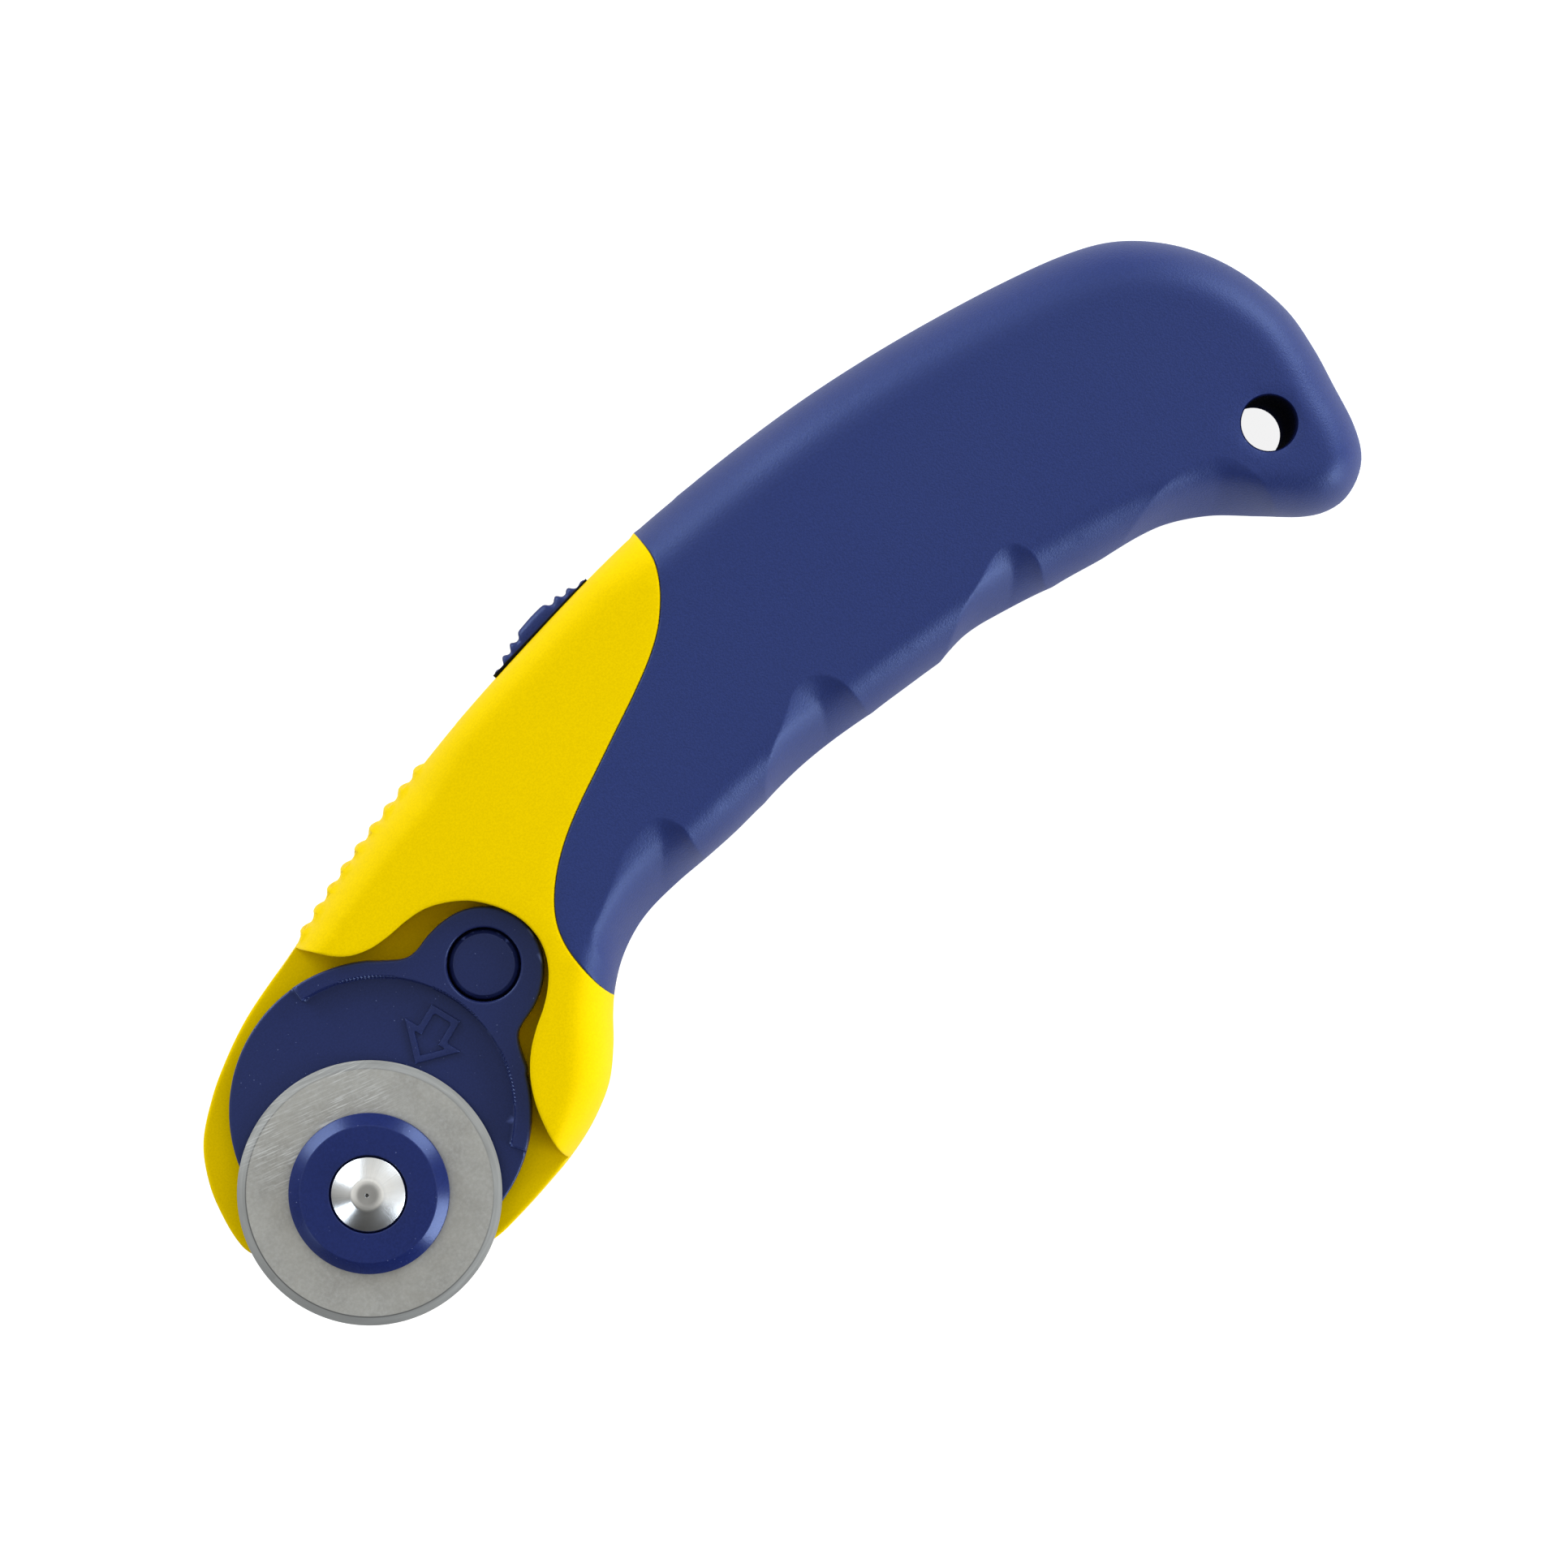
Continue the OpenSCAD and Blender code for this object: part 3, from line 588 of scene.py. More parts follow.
def back_half():
    seats = [circle(x, y, 2.75, 40) for x, y in SCREWS]
    bolt = circle(0, 0, 2.1, 32)
    plan = body_plan([(SEAM, False)], [hang, bolt, SLOT] + seats)
    z, d, w = face(plan.v)
    rim = np.abs(nearest(plan.v, EDGE)[0]) < 2e-3
    ds = np.abs(nearest(plan.v, SEAM, False)[0])
    x = plan.v[:, 0]
    step = np.interp(x, [-60, 22, 32.6, 40], [4.4, 4.4, 0.0, -3.0])
    out = 2 * ZM - z
    shaped = smax(out, step, 0.7)
    hole = np.hypot(x - HANG[0], plan.v[:, 1] - HANG[1]) - HANG[2]
    soft = np.zeros_like(z)
    for (sx, sy) in SCREWS:
        soft = np.maximum(soft, drop(np.clip(np.hypot(x - sx, plan.v[:, 1] - sy) - 2.75, 0, None), 0.2))
    grip = out + drop(ds, 0.28) + drop(np.clip(hole, 0, None), 0.22) + soft
    upper = shaped + drop(ds, 0.28) + soft
    zi = 2 * ZM - inner(d, w, z)
    zi = np.maximum(zi, np.where(x < 34, step + 1.8, 0))
    zi_grip = np.where(hole < 1.9, ZM - 0.05, zi)
    zi_up = np.where(d < WALL, ZM - 0.05, zi)
    for a in (grip, upper, zi_grip, zi_up):
        np.clip(a, None, ZM - 0.05, out=a)
        a[rim] = ZM - 0.05
    slot_out = np.minimum(upper, 6.9)
    slot_in = np.maximum(np.minimum(zi_up, 6.9), slot_out)
    seat_out = np.full_like(z, 6.0)
    seat_in = np.maximum(zi_up, 7.5)
    seat_in_grip = np.maximum(zi_grip, 7.5)
    c = plan.c
    reg = np.full(len(c), -1)
    inn = inside(c, EDGE)
    blue = inside(c, SEAM_SIDE)
    reg[inn & blue] = 0
    reg[inn & ~blue] = 1
    reg[inn & inside(c, SLOT)] = 3
    for s in seats:
        hit = inside(c, s)
        reg[hit & blue] = 4
        reg[hit & ~blue] = 5
    reg[inside(c, hang) | inside(c, bolt)] = -1
    # drawn from below: the outside is the lower surface
    top = {0: zi_grip, 1: zi_up, 3: slot_in, 4: seat_in_grip, 5: seat_in}
    bot = {0: grip, 1: upper, 3: slot_out, 4: seat_out, 5: seat_out}
    yellow = raise_solid("back_shell", plan, reg, [1, 3, 5], top, bot)
    blue_half = raise_solid("back_grip", plan, reg, [0, 4], top, bot)
    return yellow, blue_half


# ---------------------------------------------------------------- lathe


def fillet(points, radii, n=5):
    """A profile with its corners rounded."""
    out = []
    p = [np.array(q, float) for q in points]
    for i, q in enumerate(p):
        r = radii[i]
        if r <= 0 or i in (0, len(p) - 1):
            out.append(q)
            continue
        a, b = p[i - 1] - q, p[i + 1] - q
        la, lb = np.linalg.norm(a), np.linalg.norm(b)
        a, b = a / la, b / lb
        ang = math.acos(np.clip(a @ b, -1, 1))
        t = min(r / math.tan(ang / 2), 0.45 * la, 0.45 * lb)
        r = t * math.tan(ang / 2)
        mid = (a + b) / np.linalg.norm(a + b)
        c = q + mid * r / math.sin(ang / 2)
        s, e = q + a * t - c, q + b * t - c
        a0, a1 = math.atan2(s[1], s[0]), math.atan2(e[1], e[0])
        d = (a1 - a0 + math.pi) % (2 * math.pi) - math.pi
        out += [c + r * np.array([math.cos(a0 + d * k / n), math.sin(a0 + d * k / n)]) for k in range(n + 1)]
    return out


def lathe(name, profile, centre, n=128, shape=None, sharp=35.0, closed=True):
    """A turned piece: profile of (radius, height) going round its section; shape(angle, r, z) may change the radius."""
    cx, cy = centre
    verts, faces, rows = [], [], []
    for r, z in profile:
        if r < 1e-6:
            verts.append((cx, cy, z))
            rows.append([len(verts) - 1] * n)
            continue
        row = []
        for k in range(n):
            a = 2 * math.pi * k / n
            rr = shape(a, r, z) if shape else r
            verts.append((cx + rr * math.cos(a), cy + rr * math.sin(a), z))
            row.append(len(verts) - 1)
        rows.append(row)
    pairs = list(zip(rows, rows[1:])) + ([(rows[-1], rows[0])] if closed else [])
    for one, two in pairs:
        for k in range(n):
            j = (k + 1) % n
            f = [one[k], one[j], two[j], two[k]]
            g = []
            for v in f:
                if v not in g:
                    g.append(v)
            if len(g) >= 3:
                faces.append(g)
    return make(name, verts, faces, sharp, origin=(cx, cy, 0.0))


# ---------------------------------------------------------------- guard plate
GUARD_EAR = [
    (16.6, 17.95), (17.7, 17.05), (18.8, 16.2), (19.9, 15.75), (21.1, 15.75), (22.6, 16.05), (24.6, 16.15), (26.6, 15.85),
    (28.5, 14.95), (30.0, 13.5), (30.95, 11.6), (31.2, 9.6), (30.8, 7.5), (29.7, 5.6), (28.1, 4.1), (26.2, 3.1), (24.3, 2.6),
    (23.0, 2.1), (22.2, 1.1), (21.6, -0.2), (21.1, -1.4)]


def axle_at(s):
    return P0 + rot(-(P0 + s * TRAVEL * DIR), -s * TURN)


def guard():
    z_rim, z_bed, z_low = Z_BLADE + 1.0, Z_BLADE - 0.42, Z_BLADE - 2.4
    a0 = math.atan2(GUARD_EAR[0][1] - C0[1], GUARD_EAR[0][0] - C0[0])
    a1 = math.atan2(GUARD_EAR[-1][1] - C0[1], GUARD_EAR[-1][0] - C0[0]) + 2 * math.pi
    n = 150
    arc = [C0 + 16 * np.array([math.cos(a0 + (a1 - a0) * k / n), math.sin(a0 + (a1 - a0) * k / n)]) for k in range(1, n)]
    ear = resample(catmull([arc[0]] + GUARD_EAR + [arc[-1]], 12, False), lambda x, y: 0.42, False)
    edge = np.vstack([np.array(arc), ear[::-1]])
    edge = np.array([p for i, p in enumerate(edge) if np.linalg.norm(p - edge[i - 1]) > 0.05])
    # the bed that the blade lies over: inside the rim's circle, and out to the edge where the rim stops
    r0, r1 = math.radians(-56.4), math.radians(82.7)
    m = 90
    step = [C0 + 14.3 * np.array([math.cos(r0 + (r1 - r0) * k / m), math.sin(r0 + (r1 - r0) * k / m)]) for k in range(m + 1)]
    out1, out0 = C0 + 18 * np.array([math.cos(r1 + 0.012), math.sin(r1 + 0.012)]), C0 + 18 * np.array([math.cos(r0 - 0.012), math.sin(r0 - 0.012)])
    line = np.vstack([out0, np.array(step), out1])
    bed_side = np.vstack([line, [C0 + 30 * np.array([math.cos(a), math.sin(a)]) for a in np.linspace(r1 + 0.1, r0 + 2 * math.pi - 0.1, 9)]])
    pin = circle(P0[0], P0[1], 3.95, 72)
    ways = [axle_at(k / 10) for k in range(11)]
    sides = []
    for s in (1, -1):
        row = []
        for i in range(11):
            t = ways[min(i + 1, 10)] - ways[max(i - 1, 0)]
            t /= np.linalg.norm(t)
            row.append((ways[i], t, s))
        sides.append(row)
    way = []
    ta = sides[0][0][1]
    tb = sides[0][10][1]
    aa, ab = math.atan2(ta[1], ta[0]), math.atan2(tb[1], tb[0])
    for k in range(13):
        a = aa + math.pi / 2 + math.pi * k / 12
        way.append(ways[0] + 3.5 * np.array([math.cos(a), math.sin(a)]))
    for i in range(1, 10):
        t = sides[0][i][1]
        way.append(ways[i] + 3.5 * np.array([t[1], -t[0]]))
    for k in range(13):
        a = ab - math.pi / 2 + math.pi * k / 12
        way.append(ways[10] + 3.5 * np.array([math.cos(a), math.sin(a)]))
    for i in range(9, 0, -1):
        t = sides[0][i][1]
        way.append(ways[i] + 3.5 * np.array([-t[1], t[0]]))
    way = np.array(way)
    # plain arrow in outline, in relief on the bed
    ang = math.radians(17)
    mark = np.array([15.9, 7.9])

    def arrow(points):
        return np.array([mark + rot(np.array(p, float), ang) for p in points])

    outer = arrow([(-3.4, 0), (0.2, -3.5), (0.2, -1.75), (2.9, -1.75), (2.9, 1.75), (0.2, 1.75), (0.2, 3.5)])
    inner_a = arrow([(-2.35, 0), (-0.45, -1.9), (-0.45, -1.05), (2.2, -1.05), (2.2, 1.05), (-0.45, 1.05), (-0.45, 1.9)])
    outer = resample(outer, lambda x, y: 0.35, True)
    inner_a = resample(inner_a, lambda x, y: 0.35, True)

    plan = Plan()
    plan.line(edge, True)
    plan.line(line, False)
    for p in (pin, way, outer, inner_a):
        plan.line(p, True)
    nin = inward(edge)
    feats = [(line, False), (pin, True), (way, True), (outer, True), (inner_a, True)]

    def clear(q, gap):
        ok = inside(q, edge)
        for p, cl in feats:
            ok &= np.abs(nearest(q, p, cl)[0]) > gap
        return q[ok]

    fine = resample(line, lambda x, y: 0.4, False)
    nl = inward(fine)
    nl[0], nl[-1] = nl[1], nl[-2]
    for d in (0.05, 0.12, 0.22, 0.35):
        for s in (1, -1):
            q = fine + nl * d * s
            plan.scatter(q[inside(q, edge)], 0.04)
        q = edge + nin * d
        plan.scatter(clear(q, 0.1), 0.04)
        q = np.vstack([circle(P0[0], P0[1], 3.95 + d, 72)])
        plan.scatter(q, 0.04)
        for o, sgn in ((outer, -1), (outer, 1), (inner_a, 1), (inner_a, -1)):
            if d < 0.13:
                q = o + inward(o) * d * sgn
                plan.scatter(q, 0.035)
    for d in (0.6, 1.0, 1.6):
        plan.scatter(clear((edge + nin * d)[::2], 0.3), 0.3)
    xs, ys = np.arange(-12, 33, 1.1), np.arange(-12, 23, 1.0)
    q = np.array([(x + (0.55 if j % 2 else 0), y) for j, y in enumerate(ys) for x in xs])
    plan.scatter(clear(q[nearest(q, edge)[0] > 0.8], 0.3), 0.6)
    plan.solve()
    v = plan.v
    de = np.clip(nearest(v, edge)[0], 0, None)
    dl = np.abs(nearest(v, line, False)[0])
    dp = np.clip(np.hypot(v[:, 0] - P0[0], v[:, 1] - P0[1]) - 3.95, 0, None)
    rim = z_rim - drop(de, 0.24) - drop(dl, 0.2) - drop(dp, 0.24)
    fil = np.clip(0.25 - dl, 0, 0.25)
    bed = z_bed - drop(de, 0.25) + 0.25 - np.sqrt(0.0625 - fil * fil)
    up = np.full(len(v), z_bed + 0.36) - drop(np.minimum(np.abs(nearest(v, outer)[0]), np.abs(nearest(v, inner_a)[0])), 0.12)
    low = np.full(len(v), z_low) + drop(de, 0.2)
    c = plan.c
    reg = np.full(len(c), -1)
    inn = inside(c, edge)
    bed_in = inside(c, bed_side)
    reg[inn & ~bed_in] = 0
    reg[inn & bed_in] = 1
    reg[inn & inside(c, outer) & ~inside(c, inner_a)] = 2
    reg[inside(c, pin) | inside(c, way)] = -1
    return raise_solid("guard", plan, reg, [0, 1, 2], {0: rim, 1: bed, 2: up}, {0: low, 1: low, 2: low})


# ---------------------------------------------------------------- blade


def blade():
    r = 14.0
    hole = []
    for k in range(3):
        c = math.radians(20 + 120 * k)
        h = 0.75 / 2.6
        a0 = c - 2 * math.pi / 3 + math.asin(h)
        a1 = c - math.asin(h)
        hole += [(2.6 * math.cos(a), 2.6 * math.sin(a)) for a in np.linspace(a0, a1, 22)]
        u, w = np.array([math.cos(c), math.sin(c)]), np.array([-math.sin(c), math.cos(c)])
        hole += [tuple(u * 3.25 - w * 0.75), tuple(u * 3.25 + w * 0.75)]
    hole = np.array(hole)
    plan = Plan()
    edge = circle(0, 0, r, 256)
    plan.line(edge, True)
    plan.line(hole, True)
    for rr, n in ((13.86, 256), (13.5, 192), (13.18, 192), (13.1, 192), (13.02, 192), (11.8, 128), (10, 96), (8, 80), (6, 60), (4.6, 40)):
        plan.scatter(circle(0, 0, rr, n), 0.02)
    plan.solve()
    rv = np.hypot(plan.v[:, 0], plan.v[:, 1])
    thin = np.interp(rv, [0, 13.05, 13.15, 13.98, 14.0], [0.15, 0.15, 0.14, 0.012, 0.012])
    mid = Z_BLADE + 0.15
    c = plan.c
    reg = np.where(inside(c, edge) & ~inside(c, hole), 0, -1)
    return raise_solid("blade_disc", plan, reg, [0], {0: mid + thin}, {0: mid - thin})


# ---------------------------------------------------------------- screws


def screws():
    plan = Plan()
    edge = circle(0, 0, 2.6, 64)
    cross = []
    for k in range(4):
        a = k * math.pi / 2
        cross += [rot(np.array(p, float), a) for p in ((0.45, -0.45), (0.55, -0.3), (1.6, -0.26), (1.6, 0.26), (0.55, 0.3))]
    cross = np.array(cross)
    keep = [0]
    for i in range(1, len(cross)):
        if np.linalg.norm(cross[i] - cross[keep[-1]]) > 0.05:
            keep.append(i)
    cross = cross[keep]
    plan.line(edge, True)
    plan.line(cross, True)
    for rr, n in ((2.56, 64), (2.48, 60), (2.35, 56), (2.15, 48), (1.85, 40), (1.2, 24)):
        plan.scatter(circle(0, 0, rr, n), 0.03)
    for rr, n in ((0.5, 8), (0.9, 4)):
        plan.scatter(circle(0, 0, rr, n), 0.05)
    plan.solve()
    rv = np.hypot(plan.v[:, 0], plan.v[:, 1])
    dome = 4.5 + 0.42 * (rv / 2.6) ** 2 * 0.6 + drop(np.clip(2.6 - rv, 0, None), 0.35)
    deep = np.full(len(rv), 5.65) - 0.25 * np.clip(1 - rv / 1.6, 0, 1)
    inn = inside(plan.c, cross)
    reg = np.where(inn, 1, 0)
    topz = np.full(len(rv), 6.0)
    pieces = []
    head = raise_solid("screw_part", plan, reg, [0, 1], {0: topz, 1: topz}, {0: dome, 1: deep})
    pieces.append(head)
    shank = lathe("screw_part", fillet([(0, 5.9), (1.4, 5.9), (1.4, 13.9), (0.9, 14.4), (0, 14.4)], [0, 0, 0.1, 0.1, 0]), (0, 0), 32, closed=False)
    pieces.append(shank)
    bm = bmesh.new()
    for x, y in SCREWS:
        for o in pieces:
            m = o.data.copy()
            m.transform(o.matrix_world if o.location.length < 1e-9 else o.matrix_basis)
            for v in m.vertices:
                v.co.x += x / 1000.0
                v.co.y += y / 1000.0
            bm.from_mesh(m)
            bpy.data.meshes.remove(m)
    mesh = bpy.data.meshes.new("screws")
    bm.to_mesh(mesh)
    bm.free()
    for o in pieces:
        bpy.data.objects.remove(o)
    mesh.polygons.foreach_set("use_smooth", [True] * len(mesh.polygons))
    mesh.set_sharp_from_angle(angle=math.radians(35))
    obj = bpy.data.objects.new("screws", mesh)
    bpy.context.scene.collection.objects.link(obj)
    return obj


# ---------------------------------------------------------------- thumb slider
KNOB_TOP = table([
    (45.2, 31.4), (46.0, 31.9), (46.3, 32.05), (46.6, 32.2), (46.9, 32.2), (47.15, 32.1), (47.4, 32.02), (47.6, 32.1), (47.8, 32.35),
    (48.0, 32.72), (48.25, 32.88), (48.5, 32.82), (48.85, 32.64), (49.15, 32.7), (49.4, 33.05), (49.6, 33.32), (49.8, 33.36), (50.0, 33.25),
    (50.25, 33.1), (50.5, 33.08), (50.75, 33.18), (51.0, 33.55), (51.2, 33.73), (51.5, 33.8), (52, 33.87), (53, 34.0), (54, 34.08),
    (54.8, 34.09), (55.05, 34.05), (55.25, 33.93), (55.5, 33.66), (55.75, 33.53), (56.0, 33.54), (56.25, 33.7), (56.5, 33.88), (56.7, 33.88),
    (56.9, 33.7), (57.1, 33.44), (57.35, 33.35), (57.6, 33.37), (57.9, 33.6), (58.15, 33.67), (58.35, 33.56), (58.6, 33.25), (58.85, 33.08),
    (59.1, 33.06), (59.4, 33.17), (59.7, 33.25), (60.0, 33.18), (60.35, 33.0), (61, 32.9)])


def slider():
    """The thumb slider's cap: teeth at both ends, a smooth hump between, sitting on the shell's edge."""
    half = 3.7
    xs = np.linspace(46.1, 60.3, 170)
    zs = np.concatenate([np.linspace(-half, -half + 0.8, 9)[:-1], np.linspace(-half + 0.8, half - 0.8, 13), np.linspace(half - 0.8, half, 9)[1:]])
    verts, faces = [], []
    nx, nz = len(xs), len(zs)
    top_y = look(xs, KNOB_TOP)
    low_y = 31.93 + (xs - 46.1) * (33.0 - 31.93) / 14.2
    for j, z in enumerate(zs):
        fall = math.sqrt(max(0.0, 1 - max(0.0, (abs(z) - half + 0.8) / 0.8) ** 2))
        for i, x in enumerate(xs):
            ends = min(1.0, (x - 46.1) / 0.3, (60.3 - x) / 0.3)
            ends = math.sqrt(max(0.0, 1 - (1 - ends) ** 2))
            h = max(top_y[i] - low_y[i], 0.02)
            verts.append((x, low_y[i] + h * (0.25 + 0.75 * fall) * (0.3 + 0.7 * ends), ZM + z))
    n1 = len(verts)
    for j, z in enumerate(zs):
        for i, x in enumerate(xs):
            verts.append((x, low_y[i] - 0.25 + 0.33 * (abs(z) / half) ** 4, ZM + z))
    for base, flip in ((0, False), (n1, True)):
        for j in range(nz - 1):
            for i in range(nx - 1):
                f = [base + j * nx + i, base + j * nx + i + 1, base + (j + 1) * nx + i + 1, base + (j + 1) * nx + i]
                faces.append(f[::-1] if flip else f)
    ring = [i for i in range(nx)] + [j * nx + nx - 1 for j in range(1, nz)] + [(nz - 1) * nx + i for i in range(nx - 2, -1, -1)] + [j * nx for j in range(nz - 2, 0, -1)]
    for a, b in zip(ring, ring[1:] + ring[:1]):
        faces.append([a, b, n1 + b, n1 + a])
    # the stem, a bar through the slot in the shell's edge down to the slide bar, with two legs
    def bar(x0, x1, y0, y1, h):
        k = len(verts)
        for zz in (ZM - h, ZM + h):
            for px, py in ((x0, y0), (x1, y0), (x1, y1), (x0, y1)):
                q = np.array([53.0, 27.25]) + rot(np.array([px, py]), SLOPE)
                verts.append((q[0], q[1], zz))
        for f in ((0, 3, 2, 1), (4, 5, 6, 7), (0, 1, 5, 4), (1, 2, 6, 5), (2, 3, 7, 6), (3, 0, 4, 7)):
            faces.append([k + i for i in f])

    bar(-4.0, 4.0, 0.55, 4.9, 1.9)
    bar(-3.0, -1.5, -1.5, 0.6, 0.9)
    bar(1.6, 3.1, -1.5, 0.6, 0.9)
    return make("slider_cap", verts, faces, 50.0)


# ---------------------------------------------------------------- materials


def srgb(r, g, b):
    def f(c):
        c /= 255.0
        return c / 12.92 if c <= 0.04045 else ((c + 0.055) / 1.055) ** 2.4
    return (f(r), f(g), f(b), 1.0)


def material(name):
    m = bpy.data.materials.new(name)
    m.use_nodes = True
    nt = m.node_tree
    nt.nodes.clear()
    out = nt.nodes.new("ShaderNodeOutputMaterial")
    bsdf = nt.nodes.new("ShaderNodeBsdfPrincipled")
    nt.links.new(bsdf.outputs[0], out.inputs[0])
    return m, nt, bsdf


def coords(nt, scale=(1, 1, 1)):
    tc = nt.nodes.new("ShaderNodeTexCoord")
    mp = nt.nodes.new("ShaderNodeMapping")
    mp.inputs["Scale"].default_value = scale
    nt.links.new(tc.outputs["Object"], mp.inputs[0])
    return mp.outputs[0]


def noise(nt, vec, scale, detail=2.0, rough=0.5):
    n = nt.nodes.new("ShaderNodeTexNoise")
    n.inputs["Scale"].default_value = scale
    n.inputs["Detail"].default_value = detail
    n.inputs["Roughness"].default_value = rough
    nt.links.new(vec, n.inputs["Vector"])
    return n.outputs["Fac"]


def ramp(nt, fac, stops):
    r = nt.nodes.new("ShaderNodeValToRGB")
    while len(r.color_ramp.elements) < len(stops):
        r.color_ramp.elements.new(0.5)
    for e, (p, c) in zip(r.color_ramp.elements, stops):
        e.position = p
        e.color = c
    nt.links.new(fac, r.inputs[0])
    return r.outputs[0]


def mapped(nt, fac, lo, hi, a=0.0, b=1.0):
    m = nt.nodes.new("ShaderNodeMapRange")
    m.inputs["From Min"].default_value = a
    m.inputs["From Max"].default_value = b
    m.inputs["To Min"].default_value = lo
    m.inputs["To Max"].default_value = hi
    nt.links.new(fac, m.inputs["Value"])
    return m.outputs[0]


def bump(nt, bsdf, height, strength, distance):
    b = nt.nodes.new("ShaderNodeBump")
    b.inputs["Strength"].default_value = strength
    b.inputs["Distance"].default_value = distance
    nt.links.new(height, b.inputs["Height"])
    nt.links.new(b.outputs[0], bsdf.inputs["Normal"])
    return b


def mix(nt, fac, a, b, mode="MIX"):
    m = nt.nodes.new("ShaderNodeMix")
    m.data_type = "RGBA"
    m.blend_type = mode
    for sock, val in ((m.inputs["Factor"], fac), (m.inputs[6], a), (m.inputs[7], b)):
        if isinstance(val, (float, int, tuple)):
            sock.default_value = val
        else:
            nt.links.new(val, sock)
    return m.outputs[2]


def plastic(name, colour, dark, rough, grain_scale, grain, spec=0.5, speck=None, wide=0.12, tint=(1.0, 1.0, 1.0, 1.0), painted_edge_highlight=None):
    """Moulded plastic: slight colour drift, fine grain in the surface, a few pale dust specks, and where asked a
    painted highlight that lightens sharp edges.
    """
    m, nt, b = material(name)
    v = coords(nt)
    drift = noise(nt, v, 60.0, 3.0)
    fine = noise(nt, v, grain_scale, 2.0, 0.6)
    col = mix(nt, mapped(nt, drift, 0.0, wide, 0.3, 0.7), colour, dark)
    col = mix(nt, mapped(nt, fine, 0.0, 0.8, 0.35, 0.65), col, dark)
    if speck:
        dust = noise(nt, v, 4200.0, 0.0)
        col = mix(nt, mapped(nt, dust, 0.0, 0.55, speck[1], speck[1] + 0.03), col, speck[0])
    # painted highlight: where asked, sharp convex edges found by pointiness are painted a lighter colour
    if painted_edge_highlight:
        g = nt.nodes.new("ShaderNodeNewGeometry")
        edge = mapped(nt, g.outputs["Pointiness"], 0.0, 0.7, 0.555, 0.64)
        col = mix(nt, edge, col, painted_edge_highlight)
    nt.links.new(col, b.inputs["Base Color"])
    nt.links.new(mapped(nt, drift, rough - 0.04, rough + 0.05, 0.3, 0.7), b.inputs["Roughness"])
    b.inputs["Specular IOR Level"].default_value = spec
    b.inputs["Specular Tint"].default_value = tint
    bump(nt, b, fine, grain, 0.0001)
    return m


YELLOW = plastic("yellow_plastic", srgb(239, 202, 0), srgb(227, 190, 0), 0.5, 4600.0, 0.1, 0.04, tint=(1.0, 0.85, 0.02, 1.0))
GRIP = plastic("blue_grip_plastic", srgb(30, 43, 100), srgb(22, 34, 86), 0.5, 4600.0, 0.45, 0.64, None, 0.2, tint=(0.55, 0.68, 1.0, 1.0))
# the guard's sharp edges get a painted highlight in pale blue
GUARD = plastic("blue_guard_plastic", srgb(32, 40, 85), srgb(26, 33, 73), 0.32, 5000.0, 0.12, 0.5, (srgb(110, 120, 160), 0.84), tint=(0.55, 0.68, 1.0, 1.0), painted_edge_highlight=srgb(96, 110, 168))


def paint_shade_in_hole(m):
    """Painted shade: the bore of the hanging hole is painted dark, standing in for the shade inside it, and made dull.
    """
    nt = m.node_tree
    b = next(n for n in nt.nodes if n.type == "BSDF_PRINCIPLED")
    v = nt.nodes.new("ShaderNodeVectorMath")
    v.operation = "SUBTRACT"
    nt.links.new(coords(nt, (1.0, 1.0, 0.0)), v.inputs[0])
    p = at(HANG[0], HANG[1], 0)
    v.inputs[1].default_value = (p[0], p[1], 0.0)
    n = nt.nodes.new("ShaderNodeVectorMath")
    n.operation = "LENGTH"
    nt.links.new(v.outputs[0], n.inputs[0])
    hole = mapped(nt, n.outputs["Value"], 1.0, 0.0, 0.00303, 0.0031)
    col = b.inputs["Base Color"].links[0].from_socket
    # painted shade: the bore's colour is mixed to near-black blue
    nt.links.new(mix(nt, hole, col, srgb(12, 16, 44)), b.inputs["Base Color"])
    nt.links.new(mapped(nt, hole, b.inputs["Specular IOR Level"].default_value, 0.03), b.inputs["Specular IOR Level"])
    nt.links.new(mapped(nt, hole, 1.5, 1.02), b.inputs["IOR"])


paint_shade_in_hole(GRIP)
SLIDER = plastic("blue_slider_plastic", srgb(30, 40, 94), srgb(23, 32, 80), 0.36, 4600.0, 0.3, 0.4, tint=(0.55, 0.68, 1.0, 1.0))
GLOSS = plastic("blue_ring_plastic", srgb(27, 38, 92), srgb(21, 31, 80), 0.27, 4000.0, 0.06, 0.5, (srgb(130, 140, 180), 0.85), tint=(0.55, 0.66, 1.0, 1.0))


